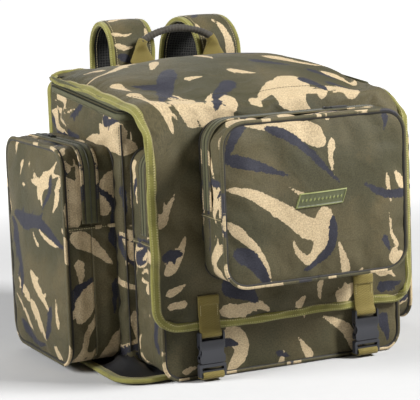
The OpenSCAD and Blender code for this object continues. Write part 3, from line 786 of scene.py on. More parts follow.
def side_wall(s):
    """One side of the bag, which turns the front corner and swells above the side pocket."""
    plan = [(SIDE_X - 40, SEAM), (SIDE_X - 12, SEAM)]
    plan += [(SIDE_X - 12 + 12 * math.sin(a), SEAM + 12 - 12 * math.cos(a))
             for a in np.linspace(0.3, 1.57, 5)]
    plan = smooth_path(plan + [(SIDE_X, y) for y in np.linspace(SEAM + 20, BACK, 34)], 6.5, rounds=0)
    n, m = len(plan), 56
    t = np.linspace(0, 1, m)
    tang = tangents(plan, False)
    out = np.c_[tang[:, 1], -tang[:, 0]]
    v, flat = [], []
    d = arc_len(plan)
    for j in range(m):
        top = edge(plan[:, 1]) - 14
        z = 8.5 + (top - 8.5) * t[j]
        across = np.sin(math.pi * np.clip((plan[:, 1] - SEAM - 6) / (BACK - SEAM - 6), 0, 1)) ** 0.5
        swell = 3.0 * math.sin(math.pi * t[j]) ** 0.7
        high = 9.0 * np.sin(math.pi * np.clip((z - 290) / (top - 8 - 290), 0, 1)) ** 0.8
        b = across * (swell + high)
        fl = np.c_[d, z]
        creases = noise2(fl, 34, 21) * 3.2 + noise2(fl, 15, 22)
        b = b + across * ease((z - 296) / 20) * ease((top - 6 - z) / 14) * creases
        # folds that pull from the side pocket's corner up to the lid's front corner
        near = ease((-8 - plan[:, 1]) / 40) * ease((plan[:, 1] - SEAM + 2) / 14) * ease((top - 4 - z) / 12)
        for z_, slope, size in ((296, 0.42, 4.6), (312, 0.30, 3.6), (326, 0.22, 2.4)):
            r = z - z_ - slope * (-24 - plan[:, 1])
            b = b + near * size * (np.exp(-(r / 5.5) ** 2) - 0.9 * np.exp(-((r - 9) / 5.0) ** 2))
        v.append(np.c_[s * (plan[:, 0] + out[:, 0] * b), plan[:, 1] + out[:, 1] * b, z])
        flat.append(np.c_[s * d + 400 * s, z])
    v, flat = np.array(v), np.array(flat)
    ob = make("side_wall_" + ("left" if s < 0 else "right"), v.reshape(-1, 3), quads(m, n, flip=s < 0),
              flat.reshape(-1, 2), "camo", "lining", thick=3.0, subdiv=1)
    q = v.reshape(-1, 3)
    jj, ii = np.divmod(np.arange(m * n), n)
    pin = ((jj == 0) | (jj > m - 4) | (ii < 4) | (ii == n - 1)).astype(float)
    side_y = box("side_pocket_right_shell")
    hid = (q[:, 2] < 290) & (q[:, 1] > side_y[0][1] + 6) & (q[:, 1] < side_y[1][1] - 6)

    def keep(c):
        c[:, 0] = np.where(hid, np.clip(c[:, 0], -SIDE_X - 1, SIDE_X + 1), c[:, 0])
        return c
    soften(ob, np.maximum(pin, hid * 1.0), 0.5, 0.03, 9, keep)
    return ob


def flat_grid(w, h, r, step):
    """A grid over a rectangle with round corners, centred on the origin."""
    nx, nz = int(w / step) + 1, int(h / step) + 1
    x, z = np.meshgrid(np.linspace(-w / 2, w / 2, nx), np.linspace(-h / 2, h / 2, nz))
    dx, dz = np.abs(x) - (w / 2 - r), np.abs(z) - (h / 2 - r)
    m = (dx > 0) & (dz > 0)
    rx, rz = round_corner(dx, dz, r)
    x_round, z_round = np.sign(x) * (w / 2 - r + rx), np.sign(z) * (h / 2 - r + rz)
    return np.where(m, x_round, x), np.where(m, z_round, z), nx, nz


walls = [side_wall(-1), side_wall(1)]
fx, fz, nx, nz = flat_grid(2 * SIDE_X - 30, edge(SEAM) - 20, 6, 9)
fz = fz + (edge(SEAM) - 20) / 2 + 9
bulge = 3 * np.cos(fx / (2 * SIDE_X) * math.pi) * np.sin(np.clip(fz / 350, 0, 1) * math.pi)
front_wall = make("front_wall", np.stack([fx, SEAM + 1 - bulge * 0.4, fz], -1).reshape(-1, 3), quads(nz, nx),
                  np.stack([fx + 900, fz], -1).reshape(-1, 2), "camo", "lining", thick=3, subdiv=1)


# ---------------------------------------------------------------- zips, stitches and pockets

def teeth(name, path, out, side, pitch=2.3, shift=0.0):
    """Half of a zip: a row of small moulded teeth that lean over the join."""
    path = np.asarray(path, float)
    s = arc_len(path)
    q = np.arange(pitch * (0.5 + shift), s[-1] - 1, pitch)
    c, o, d = along(path, s, q), unit(along(out, s, q)), unit(along(side, s, q))
    t = unit(np.cross(o, d))
    v, f = [], []
    shape = [(-0.55, 0, 0.2), (0.55, 0, 0.2), (0.55, 1.0, 1.9), (-0.55, 1.0, 1.9),
             (-0.4, 2.6, 0.2), (0.4, 2.6, 0.2), (0.4, 2.2, 1.7), (-0.4, 2.2, 1.7)]
    for a, b, h in shape:
        v.append(c + t * a + d * (b - 0.7) + o * h)
    v = np.stack(v, 1).reshape(-1, 3)
    for i in range(len(q)):
        k = 8 * i
        f += [(k, k + 1, k + 2, k + 3), (k + 4, k + 7, k + 6, k + 5), (k + 3, k + 2, k + 6, k + 7),
              (k, k + 3, k + 7, k + 4), (k + 1, k + 5, k + 6, k + 2), (k, k + 4, k + 5, k + 1)]
    return make(name, v, f, None, "coil", smooth=False)


def stitches(name, path, out, mat="thread", pitch=3.4, length=2.4, r=0.42, closed=False):
    """A row of sewing stitches lying on cloth."""
    path, out = np.asarray(path, float), np.asarray(out, float)
    if closed:
        path, out = np.vstack([path, path[:1]]), np.vstack([out, out[:1]])
    s = arc_len(path)
    q = np.arange(pitch / 2, s[-1] - pitch / 2, pitch)
    c, o = along(path, s, q), unit(along(out, s, q))
    t = unit(along(path, s, q + 0.6) - along(path, s, q - 0.6))
    d = np.cross(o, t)
    v = []
    for e, k in ((-0.5, 0.25), (-0.3, 1.0), (0.3, 1.0), (0.5, 0.25)):
        for a in np.arange(6) * math.pi / 3:
            v.append(c + t * (e * length) + (d * math.cos(a) + o * math.sin(a) * 0.8) * r * k + o * r * 0.3)
    v = np.stack(v, 1).reshape(-1, 3)
    f = []
    for i in range(len(q)):
        b = 24 * i
        for j in range(3):
            for k in range(6):
                here, beside = b + j * 6 + k, b + j * 6 + (k + 1) % 6
                f.append((here, beside, beside + 6, here + 6))
        f += [tuple(b + k for k in range(5, -1, -1)), tuple(b + 18 + k for k in range(6))]
    return make(name, v, f, None, mat)


LATE = []      # pieces that are finished after the simulation, as later() queues them


def rider(body):
    """The piece moves with one body."""
    return lambda ob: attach(ob, body)


def bender():
    """The piece keeps its place: its transform is baked into its points."""
    return lambda ob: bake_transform(ob)


def later(ob, follow, nodes=(), print_=None, pad=None):
    """Queues a piece. nodes are the CAD nodes it stands for, print_ is (seed, own strokes, clear circles)
    and pad, how full a padded piece is, is not used."""
    LATE.append((ob, follow, nodes, print_, pad))


def pocket(key, world, w, z0, z1, r, d, split, base, cover, nodes, seed, own=(), floor=None, press=0.9, cap=9,
           proud=5.0, mid=None, strip=()):
    """A zipped pocket: crowned face, piping, strip round it in two halves, zip and seams.
    It is drawn with its width along X and opens towards +Y at y = 0, and world places it on the bag."""
    turned = lambda v: world(v) - world(v * 0)
    if cover:
        a = world(np.array([[0, -d - 1, split]]))[0]
        follow = bender()
    else:
        follow = rider(base)
    hold = rider(base)
    mid = -d / 2 if mid is None else mid
    h, cz = z1 - z0, (z0 + z1) / 2
    x, z, nx, nz = flat_grid(w, h, r, 6.5)
    crown = proud * (1 - np.abs(2 * x / w) ** 3) * (1 - np.abs(2 * z / h) ** 3)
    f2 = np.stack([x, z], -1).reshape(-1, 2)
    ripple = (noise2(f2, 55, seed) * 1.6 + noise2(f2, 22, seed + 1) * 0.5).reshape(x.shape)
    y = -d - crown - ripple * np.minimum(crown / 3, 1)
    face = make(key + "_face", world(np.stack([x, y, z + cz], -1).reshape(-1, 3)), quads(nz, nx),
                np.stack([x, z], -1).reshape(-1, 2), "camo", "lining", thick=1.8, subdiv=1)
    jj, ii = np.divmod(np.arange(nx * nz), nx)
    soften(face, ((jj == 0) | (ii == 0) | (jj == nz - 1) | (ii == nx - 1)).astype(float), press, 0.022, cap)
    later(face, follow, nodes["face"], (seed, own, ((0, 0, 500),) if own else ()))

    loop, nrm, s = rr_loop(w, z0, z1, r, 5.5)
    n = len(loop)
    n3 = np.c_[nrm[:, 0], np.zeros(n), nrm[:, 1]]

    def ring(y, grow):
        p = np.c_[loop[:, 0] + nrm[:, 0] * grow, np.full(n, y), loop[:, 1] + nrm[:, 1] * grow]
        if floor is not None:
            p[:, 2] = np.maximum(p[:, 2], floor(p[:, 1]))
        return p

    def half(name, ya, yb, seed_, follow_, nodes_):
        k = max(5, int(abs(yb - ya) / 5.0))
        v, fl = [], []
        for t in np.linspace(0, 1, k):
            yy = ya + (yb - ya) * t
            fl_ = np.c_[s, np.full(n, yy)]
            uneven = 1.8 + noise2(fl_, 44, seed_) * 1.8 + noise2(fl_, 17, seed_ + 3) * 0.8
            g = math.sin(math.pi * t) * uneven
            g = g * ease((abs(yy - mid) - 9) / 8) * np.where(nrm[:, 1] < -0.7, 0.2, 1)
            v.append(ring(yy, g))
            fl.append(fl_)
        ob = make(name, world(np.vstack(v)), quads(k, n, True, flip=True), np.vstack(fl), "camo", "lining",
                  thick=1.8, subdiv=1)
        jj = np.arange(k * n) // n
        near = np.abs(ya + (yb - ya) * jj / (k - 1) - mid) < 11
        lowest = np.tile(nrm[:, 1] < -0.6, k)
        soften(ob, ((jj == 0) | (jj == k - 1) | near | lowest) * 1.0, 0.35, 0.03, 4)
        later(ob, follow_, nodes_, (seed_, strip, ()))

    half(key + "_strip_front", -d + 0.8, mid - 0.2, seed + 11, follow, nodes["cover"])
    half(key + "_strip_back", mid + 0.2, -0.4, seed + 17, hold, nodes["shell"])

    def cord(name, y, grow, rad, mat, fo, nodes_=()):
        p = world(smooth_path(ring(y, grow), 4.0, True, 1))
        out = turned(np.tile((0.0, -1.0, 0.0), (len(p), 1)))
        ob = sweep(key + name, p, out, circle(rad, 10), mat, closed=True)
        later(ob, fo, nodes_, (seed + 23, (), ()) if mat == "camo" else None)

    # piping round the face, with a dark cord on each side of it as painted shade in its grooves, and a welt
    # where the pocket is sewn on
    cord("_piping_groove", -d + 0.6, -0.4, 3.0, "dark", follow)
    cord("_piping", -d - 0.3, 1.3, 2.5, "camo", follow, nodes["piping"])
    cord("_piping_edge", -d + 3.6, 0.9, 1.3, "dark", follow)
    cord("_back_welt", -1.2, 0.9, 1.5, "dark", hold)
    for tag, y, fo in (("front", -d + 6.6, follow), ("back", -4.2, hold)):
        p = world(smooth_path(ring(y, 1.7 if tag == "front" else 0.9), 4.0, True, 1))
        out = turned(np.array([[0, -1.0, 0]]))
        so = unit(p - p.mean(0) - ((p - p.mean(0)) * out).sum(1, keepdims=True) * out)
        later(stitches("%s_%s_stitch" % (key, tag), p, so, "dark_thread", closed=True, r=0.36), fo)

    # the zip runs over the top, down to the split seam on both sides
    up = loop[:, 1] > split + 3
    i0 = np.argmax(up)
    order = np.arange(i0, i0 + up.sum()) % n
    lp, ln = loop[order], n3[order]

    def run(y, grow):
        p = np.c_[lp[:, 0] + ln[:, 0] * grow, np.full(len(lp), y), lp[:, 1] + ln[:, 2] * grow]
        return world(p)

    lnw = turned(ln)
    yrow = np.tile(turned(np.array([0.0, 1.0, 0.0])), (len(lp), 1))
    for tag, sg, fo in (("front", -1, follow), ("back", 1, hold)):
        name = key + "_zip_%s_" + tag
        # the dark edge cord between the zip tape and the cloth's fold is painted shade in the gap under the
        # fold
        for what, off, grow, outline, mat, cad, print_ in (
                ("tape", 3.9, 3.3, band(7.0, 1.5), "ziptape", nodes["zip_" + tag], None),
                ("edge", 8.0, 2.9, circle(1.25, 8), "dark", (), None),
                ("fold", 10.6, 2.9, band(4.6, 1.8), "camo", (), (seed + 41, (), ()))):
            later(sweep(name % what, run(mid + sg * off, grow), yrow, outline, mat), fo, cad, print_)
        later(teeth(name % "teeth", run(mid + sg * 0.9, 3.0), lnw, -sg * yrow * 0.6, shift=0.25 * (1 + sg)),
              fo)
        later(stitches(name % "stitch", run(mid + sg * 10.8, 3.9), lnw, "dark_thread", r=0.36), fo)

    # the seam across the strip where the zip ends
    for e in (-1, 1):
        ys = np.linspace(-d + 4, -1.5, 14)
        grow = 2.2 + 0.8 * np.sin(np.linspace(0, 2 * math.pi, 14))
        p = np.c_[np.full(14, e * (w / 2)) + e * grow, ys, np.full(14, split - 3.0)]
        ox = turned(np.tile([e, 0, 0], (14, 1)))
        outline = [(across * 0.8, width) for width, across in band(5, 1.8)]
        end = "ab"[e > 0]
        later(sweep(key + "_seam_" + end, world(p), ox, outline, "camo"), hold, (), (seed + 31, (), ()))
        p[:, 0] += e * 1.3
        later(stitches(key + "_seam_stitch_" + end, world(p), ox, "thread"), hold)


def side_world(s):
    """How a side pocket is placed on the bag, its width and the height of its bottom."""
    lo, hi = box("side_pocket_%s_shell" % ("left" if s < 0 else "right"))
    cy = (lo[1] + hi[1]) / 2

    def f(p):
        p = np.asarray(p, float)
        return np.stack([s * SIDE_X - s * p[..., 1], cy + s * p[..., 0], p[..., 2]], -1)
    return f, hi[1] - lo[1], lo[2]


# The print on the parts seen most, drawn one by one: kind, line, half width, how it tapers.
LID_FACE = [
    ("tan", [(-2, -50), (-24, -32), (-56, -10), (-86, 10), (-108, 20), (-130, 24)], 15, 0.55),
    ("tan", [(3, -14), (5, -36), (0, -58), (-18, -82)], 15, 0.45),
    ("tan", [(-16, -82), (-34, -66), (-42, -48)], 6, 0.6),
    ("navy", [(16, -24), (17, -62), (2, -80), (-24, -92)], 7, 0.3),
    ("tan", [(42, -106), (32, -78), (24, -54)], 7, 0.6),
    ("tan", [(-130, -20), (-98, -48), (-82, -70), (-68, -106)], 8, 0.6),
    ("navy", [(-118, -60), (-98, -68), (-86, -86), (-70, -108)], 13, 0.5),
    ("tan", [(4, 72), (-8, 86), (-42, 97), (-72, 99), (-104, 101)], 17, 0.9),
    ("navy", [(-72, 96), (-48, 88), (-20, 70), (2, 44), (30, 16)], 7, 0.5),
    ("navy", [(-130, 62), (-94, 52), (-70, 44), (-42, 33)], 9, 0.5),
    ("navy", [(-104, 106), (-118, 86), (-128, 64)], 9, 0.4), ("tan", [(20, 74), (14, 52), (20, 28)], 6, 0.8),
    ("tan", [(-20, 5), (-48, 21)], 4, 0.8), ("tan", [(16, 100), (24, 104)], 3, 0.8),
    ("navy", [(132, -4), (100, -6), (62, 15)], 7, 0.4), ("tan", [(128, 4), (112, 26)], 9, 0.7),
    ("tan", [(98, 24), (108, -18)], 3, 0.2), ("tan", [(118, -76), (108, -60), (102, -28)], 4, 0.6),
    ("tan", [(126, -92), (110, -90), (112, -76)], 11, 0.4), ("navy", [(94, -58), (105, -80)], 6, 0.6),
    ("navy", [(104, 102), (100, 80)], 6, 0.8), ("tan", [(60, -106), (64, -98)], 4, 0.4),
]
SIDE_FACE = [
    ("tan", [(-58, 148), (-60, 122)], 6, 0.9), ("tan", [(-28, 120), (-30, 100)], 6, 0.9),
    ("tan", [(6, 122), (9, 112)], 3, 0.7), ("tan", [(52, 94), (74, 110), (98, 132)], 13, 0.9),
    ("tan", [(52, 98), (14, 98)], 8, 0.9), ("tan", [(52, 92), (44, 74)], 11, 0.8),
    ("tan", [(96, 96), (84, 60)], 6, 0.5), ("tan", [(98, 96), (116, 124)], 6, 0.9),
    ("cut", [(84, 112), (74, 84)], 4, 0.5), ("tan", [(-16, 88), (-6, 90)], 4, 0.6),
    ("navy", [(84, 108), (72, 84), (56, 60)], 4, 0.4),
    ("navy", [(-60, 44), (-10, 36), (50, 48), (106, 14)], 12, 0.4),
    ("navy", [(-74, 34), (-50, -4), (-28, -34), (-40, -70)], 14, 0.6),
    ("tan", [(96, 18), (58, 24), (30, 42)], 5, 0.6), ("tan", [(36, 10), (14, 30)], 4, 0.8),
    ("tan", [(120, 26), (100, 44)], 8, 0.7), ("tan", [(4, -30), (20, -48), (50, -68), (64, -84)], 10, 0.8),
    ("tan", [(80, -96), (80, -72), (72, -54)], 4, 0.5), ("tan", [(-4, -74), (26, -94), (36, -122)], 11, 0.5),
    ("tan", [(-10, -70), (-56, -40)], 9, 0.9), ("tan", [(-42, -92), (-10, -116)], 9, 0.6),
    ("tan", [(-46, -88), (-72, -70)], 8, 0.7), ("tan", [(60, -128), (80, -140)], 10, 0.6),
    ("navy", [(62, -70), (58, -96), (34, -120)], 7, 0.4),
    ("navy", [(-70, -112), (-34, -134), (28, -130)], 8, 0.5), ("tan", [(-104, 70), (-100, 20)], 5, 0.8),
]
SIDE_STRIP = [
    ("tan", [(284, -66), (306, -60), (338, -50), (376, -56)], 15, 0.9),
    ("tan", [(344, -2), (316, -12), (298, -20)], 19, 0.4),
    ("tan", [(272, -64), (258, -38), (228, -8)], 13, 0.7),
    ("tan", [(238, -58), (220, -53), (202, -57)], 8, 0.6), ("tan", [(108, -54), (104, -34)], 7, 0.7),
    ("navy", [(208, -6), (160, -10)], 6, 0.6), ("tan", [(382, -72), (398, -60)], 6, 0.7),
    ("tan", [(420, -30), (470, -16)], 11, 0.8), ("navy", [(430, -46), (480, -60)], 7, 0.7),
    ("tan", [(520, -50), (580, -36)], 12, 0.9),
]
LID_STRIP = [
    ("tan", [(610, -32), (622, -42), (636, -46)], 5, 0.6),
    ("tan", [(580, -60), (606, -64), (640, -68)], 6, 0.6),
    ("tan", [(648, -34), (656, -54), (650, -66)], 8, 0.4), ("tan", [(668, -34), (668, -64)], 5, 0.2),
    ("tan", [(772, -30), (752, -38), (740, -22)], 17, 0.8), ("navy", [(640, -30), (642, -66)], 5, 0.3),
    ("navy", [(776, -50), (800, -60)], 8, 0.6), ("tan", [(470, -40), (430, -54)], 6, 0.7),
    ("tan", [(380, -30), (350, -50)], 7, 0.8), ("navy", [(420, -20), (380, -34)], 6, 0.7),
    ("tan", [(540, -16), (500, -46)], 8, 0.8),
]
FRONT_STRIP = [
    ("tan", [(810, -10), (836, -14), (864, -24)], 9, 0.6), ("tan", [(824, -54), (836, -62)], 7, 0.5),
    ("tan", [(870, -34), (868, -68)], 6, 0.4), ("tan", [(888, -34), (894, -60)], 7, 0.3),
    ("navy", [(830, -20), (860, -10)], 6, 0.5),
    ("tan", [(930, -4), (926, -40), (946, -66), (960, -50)], 11, 0.5),
    ("tan", [(926, -8), (960, -10)], 9, 0.9), ("navy", [(916, -12), (914, -66)], 7, 0.3),
    ("tan", [(1066, -12), (1080, -38)], 4, 0.8), ("navy", [(1016, -58), (1060, -70)], 8, 0.6),
    ("tan", [(1060, -4), (1040, -12)], 8, 0.7),
]
FRONT_FACE = [
    ("tan", [(-84, -92), (-66, -110), (-66, -126), (-84, -148)], 14, 0.3),
    ("navy", [(-92, -106), (-70, -112)], 7, 0.4), ("tan", [(40, -146), (18, -112)], 7, 0.8),
    ("tan", [(114, -146), (96, -112), (56, -90)], 11, 0.6), ("tan", [(-8, -150), (-2, -128)], 5, 0.7),
    ("navy", [(-14, -130), (8, -140)], 4, 0.5), ("tan", [(-150, -140), (-128, -134)], 6, 0.7),
    ("navy", [(150, -100), (160, -140)], 9, 0.6),
    ("tan", [(-150, 110), (-118, 92), (-96, 54), (-100, 20)], 15, 0.7),
    ("tan", [(-150, 70), (-132, 40)], 9, 0.7), ("navy", [(-92, 96), (-72, 60), (-78, 22)], 9, 0.6),
    ("tan", [(-40, 118), (-14, 96), (-6, 60), (-26, 30)], 16, 0.6),
    ("navy", [(20, 112), (24, 76), (8, 40), (30, 16)], 10, 0.6),
    ("tan", [(60, 110), (92, 92), (134, 100)], 13, 0.7), ("tan", [(150, 60), (122, 40), (104, 8)], 12, 0.7),
    ("navy", [(70, 66), (100, 58), (120, 66)], 8, 0.6),
    ("tan", [(-150, -20), (-120, -30), (-96, -60)], 13, 0.7), ("navy", [(-150, -50), (-126, -66)], 9, 0.5),
    ("tan", [(-60, -10), (-34, -40), (-44, -74)], 12, 0.6),
    ("navy", [(-30, -4), (10, -24), (22, -56)], 9, 0.6), ("tan", [(60, -20), (86, -40), (132, -34)], 12, 0.6),
    ("tan", [(48, 30), (62, 6)], 7, 0.7), ("cut", [(-14, 92), (-14, 60)], 4, 0.5),
    ("navy", [(146, -8), (132, -60)], 9, 0.6), ("tan", [(20, -66), (30, -90)], 7, 0.7),
]

for s, name in ((-1, "left"), (1, "right")):
    world, w, z0 = side_world(s)
    cv = box("side_pocket_%s_cover" % name)
    d = max(abs(cv[0][0]), abs(cv[1][0])) - SIDE_X
    pocket("side_pocket_" + name, world, w, z0, cv[1][2], 30, d, cv[0][2], "bag", "side_cover_" + name,
           {"face": [], "cover": ["side_pocket_%s_cover" % name], "shell": ["side_pocket_%s_shell" % name],
            "piping": ["side_pocket_%s_cover_piping" % name] + (["side_pocket_piping"] if s < 0 else []),
            "zip_front": [], "zip_back": ["side_pocket_zip"] if s < 0 else []}, 40 + 7 * s,
           own=with_teeth(SIDE_FACE, 8) if s < 0 else (), strip=SIDE_STRIP if s < 0 else ())

slide = box("lid_pocket_slider")
cover_lo, cover_hi = box("lid_pocket_cover")
pocket("lid_pocket", lambda p: np.asarray(p, float) + (POCKET_X, FLAP - 0.5, 0), pocket_hi[0] - pocket_lo[0],
       pocket_lo[2], cover_hi[2], 30, FLAP - pocket_lo[1] - 0.5, cover_lo[2], "flap", "lid_pocket_cover",
       {"face": [], "cover": ["lid_pocket_cover"], "shell": ["lid_pocket_shell"],
        "piping": ["lid_pocket_cover_piping", "lid_pocket_piping"], "zip_front": [],
        "zip_back": ["lid_pocket_zip"]}, 77, own=LID_FACE, strip=LID_STRIP,
       mid=(slide[0][1] + slide[1][1]) / 2 - FLAP + 0.5)

fp_lo, fp_hi = box("front_pocket_shell")
pocket("front_pocket", lambda p: np.asarray(p, float) + (0, SEAM, 0), fp_hi[0] - fp_lo[0], fp_lo[2] + 1,
       fp_hi[2], 24, SEAM - fp_lo[1] - 1, box("front_pocket_zip")[0][2], "bag", None,
       {"face": [], "cover": [], "shell": ["front_pocket_shell"], "piping": ["front_pocket_piping"],
        "zip_front": [], "zip_back": ["front_pocket_zip"]}, 91, own=FRONT_FACE, strip=FRONT_STRIP,
       floor=lambda y: 3 + 8.5 * ease((y + 84) / 16), press=0.1, cap=2.5, proud=1.0, mid=-42)


# ---------------------------------------------------------------- the rim's zip, under the lid's edge

def rim_run(dz, grow):
    """The line round the bag's mouth, dz below the lid's edge, and the way out from it."""
    side = [(SIDE_X, y) for y in np.linspace(BACK - 12, SEAM + 12, 40)]
    turn = [(SIDE_X - 12 + 12 * math.cos(a), SEAM + 12 - 12 * math.sin(a)) for a in np.linspace(0.2, 1.37, 5)]
    half_ = side + turn + [(x, SEAM) for x in np.linspace(SIDE_X - 12, 4, 24)]
    p = np.array(half_ + [(-a, b) for a, b in half_[::-1]])
    t = tangents(p, False)
    n = np.c_[-t[:, 1], t[:, 0]]
    q = np.c_[p + n * grow, edge(p[:, 1]) - dz]
    return q, np.c_[n, np.zeros(len(n))]


slide = box("rim_slider")
gap = edge((slide[0][1] + slide[1][1]) / 2) - (slide[0][2] + slide[1][2]) / 2
for tag, sg, body in (("bag", 1, "bag"), ("lid", -1, "lid")):
    q, n = rim_run(gap + 6.2 * sg, 1.8)
    up = np.tile((0, 0, 1.0), (len(q), 1))
    tape = sweep("rim_zip_tape_" + tag, q, up, band(10, 1.3), "ziptape")
    later(tape, rider(body), ["rim_zip" if sg > 0 else "lid_zip"])
    q, n = rim_run(gap + 1.6 * sg, 2.0)
    later(teeth("rim_zip_teeth_" + tag, q, n, -up * sg, shift=0.25 * (1 + sg)), rider(body))
    q, n = rim_run(gap + 9.4 * sg, 2.6)
    later(stitches("rim_zip_stitch_" + tag, q, n, "dark_thread"), rider(body))


# ---------------------------------------------------------------- base

blo, bhi = box("base_panel")
BASE_WIDTH, BASE_X, BASE_Y = bhi[0] - blo[0], (blo[0] + bhi[0]) / 2, (blo[1] + bhi[1]) / 2
gx, gy, nx, nz = flat_grid(BASE_WIDTH - 3, bhi[1] - blo[1] - 3, 38, 6.5)
tight = flat_grid(BASE_WIDTH - 3, bhi[1] - blo[1] - 3, 11, 6.5)
rear_right = (gx > 0) & (gy > 0)
gx, gy = np.where(rear_right, tight[0], gx) + BASE_X, np.where(rear_right, tight[1], gy) + BASE_Y


def out_of(x, y, x1, y0, y1):
    """How far points lie outside a rectangle that is |x| < x1 and y0 < y < y1."""
    dx, dy = np.abs(x) - x1, np.maximum(y0 - y, y - y1)
    return np.hypot(np.maximum(dx, 0), np.maximum(dy, 0))


def skirt(x, y):
    """Height of the waterproof base: it sweeps up to the walls, and lies flat under the pockets."""
    wall = out_of(x, y, SIDE_X - 1, SEAM + 1, REAR)
    edge_ = np.minimum(BASE_WIDTH / 2 - np.abs(x - BASE_X), np.minimum(y - blo[1], bhi[1] - y))
    r = np.where((x > BASE_X) & (y > BASE_Y), 12, 40)
    cx, cy = np.abs(x - BASE_X) - (BASE_WIDTH / 2 - r), np.maximum(blo[1] + r - y, y - bhi[1] + r)
    edge_ = np.where((cx > 0) & (cy > 0), r - np.hypot(cx, cy), edge_)
    edge_ = np.maximum(edge_, 0)
    h = 4.5 + 30 * (edge_ / (edge_ + wall + 1e-6)) ** 1.5
    side_y = box("side_pocket_right_shell")
    under = np.minimum(out_of(x, y, 400, side_y[0][1] - 1, side_y[1][1] + 1),
                       out_of(x, y, fp_hi[0] + 1, -400, SEAM))
    under = np.minimum(under, out_of(x, y, SIDE_X - 3, SEAM + 3, 400))
    return np.minimum(h, 8.0 + under * 1.7)


uneven = noise2(np.stack([gx, gy], -1).reshape(-1, 2), 30, 5).reshape(gx.shape) * 0.5
top = np.stack([gx, gy, skirt(gx, gy) + uneven], -1).reshape(-1, 3)
low = np.stack([gx, gy, np.full(gx.shape, 0.6)], -1).reshape(-1, 3)
base = make("base_cloth", np.vstack([top, low]), slab_faces(nz, nx), None, "pvc")
later(base, rider("bag"), ["base_panel"])

bl, bn, _ = rr_loop(BASE_WIDTH, blo[1], bhi[1], (40, 12, 40, 40), 4)
bl[:, 0] += BASE_X
path = np.c_[bl - bn * 3.5, np.full(len(bl), 4.9) + noise2(bl, 28, 12) * 0.5]
later(sweep("base_binding_tape", path, np.c_[bn, np.zeros(len(bn))], band(12.5, 6.2), "tape", closed=True),
      rider("bag"), ["base_binding"])
seam = np.c_[bl - bn * 7.6, np.full(len(bl), 8.0)]
later(stitches("base_binding_stitch", seam, np.tile((0, 0, 1.0), (len(bl), 1)), closed=True), rider("bag"))


# ---------------------------------------------------------------- back panel and its pads

klo, khi = box("back_panel")
# each pad: the middle of it across and up, its width and its height
PADS = ((-85, 240, 130, 200), (85, 240, 130, 200), (0, 92, 300, 72))
gx, gz, nx, nz = flat_grid(khi[0] - klo[0], khi[2] - klo[2], 16, 5.5)
gz = gz + (khi[2] + klo[2]) / 2


def pad_height(x, z):
    """Height of the sewn pads above the back panel."""
    h = np.zeros(x.shape)
    for cx, cz, w, tall in PADS:
        u, v = np.abs(x - cx) / (w / 2), np.abs(z - cz) / (tall / 2)
        k = np.clip(1 - (u ** 6 + v ** 6) ** (1 / 6), 0, 1)
        h = np.maximum(h, 11.5 * np.clip(k * 3.2, 0, 1) ** 0.45)
    return h


def groove(x, z):
    """Sewn channels that quilt the pads."""
    upper = (np.abs(np.abs(x) - 85) < 62) * (np.abs(z - 240) < 98)
    g = np.exp(-((np.abs(z - 240) - 34) / 3.2) ** 2) * upper
    return g + np.exp(-((np.abs(x) - 76) / 3.2) ** 2) * (np.abs(z - 92) < 34)


hgt = pad_height(gx, gz) * (1 - 0.55 * groove(gx, gz))
round_ = np.minimum(1, np.minimum((khi[0] - np.abs(gx)), np.minimum(gz - klo[2], khi[2] - gz)) / 9) ** 0.5
back_y = klo[1] + 4 + (REAR - klo[1] - 4) * np.nan_to_num(round_) + hgt
front_pts = np.stack([gx, back_y, gz], -1).reshape(-1, 3)
rear_pts = np.stack([gx, np.full(gx.shape, klo[1] + 0.2), gz], -1).reshape(-1, 3)
flat = np.stack([gx, gz], -1).reshape(-1, 2)
cushion = make("back_cushion", np.vstack([front_pts, rear_pts]), slab_faces(nz, nx, flip=True),
               np.vstack([flat, flat]), "mesh", subdiv=1)
later(cushion, rider("bag"), ["back_panel", "back_pads"], None, 0.7)
kl, kn, _ = rr_loop(khi[0] - klo[0] + 1, klo[2], khi[2], 16, 4)
path = np.c_[kl[:, 0], np.full(len(kl), (klo[1] + REAR) / 2), kl[:, 1]]
prof = [(1.6 * math.cos(a), 6.8 * math.sin(a)) for a in np.arange(12) * math.pi / 6]
outward = np.c_[kn[:, 0], np.zeros(len(kn)), kn[:, 1]]
later(sweep("back_binding_tape", path, outward, prof, "tape", closed=True), rider("bag"), ["back_binding"])
# the loops stay in the middle across, so those of the two upper pads lie in one place
for cx, cz, w, tall in PADS:
    loop, _, _ = rr_loop(w + 3, cz - tall / 2 - 1.5, cz + tall / 2 + 1.5, 9, 3)
    p = np.c_[loop[:, 0], np.full(len(loop), REAR + 0.2), loop[:, 1]]
    out = np.tile((0, 1.0, 0), (len(loop), 1))
    later(stitches("pad_stitch_%d_%d" % (cx + 100, cz), p, out, "dark_thread", closed=True), rider("bag"))


# ---------------------------------------------------------------- shoulder straps

lock = box("ladder_lock_left")
lock_y, lock_z = (lock[0][1] + lock[1][1]) / 2, (lock[0][2] + lock[1][2]) / 2
pads = box("shoulder_pad_left")
ARCH, HALF_PAD = 46.5, 5.5      # radius of the arch's middle line, and half the pad's thickness
WEB_WIDTH = 30
arch = (pads[0][1] + HALF_PAD + ARCH, pads[1][2] - HALF_PAD - ARCH)
line = [(arch[0] - ARCH, 350), (arch[0] - ARCH, 365)]
line += [(arch[0] - ARCH * math.cos(a), arch[1] + ARCH * math.sin(a)) for a in np.linspace(0, math.pi, 15)]
line += [(263.5, 350), (261, 275), (256, 222), (249.5, 176)]
line = smooth_path(line, 5.0, rounds=1)


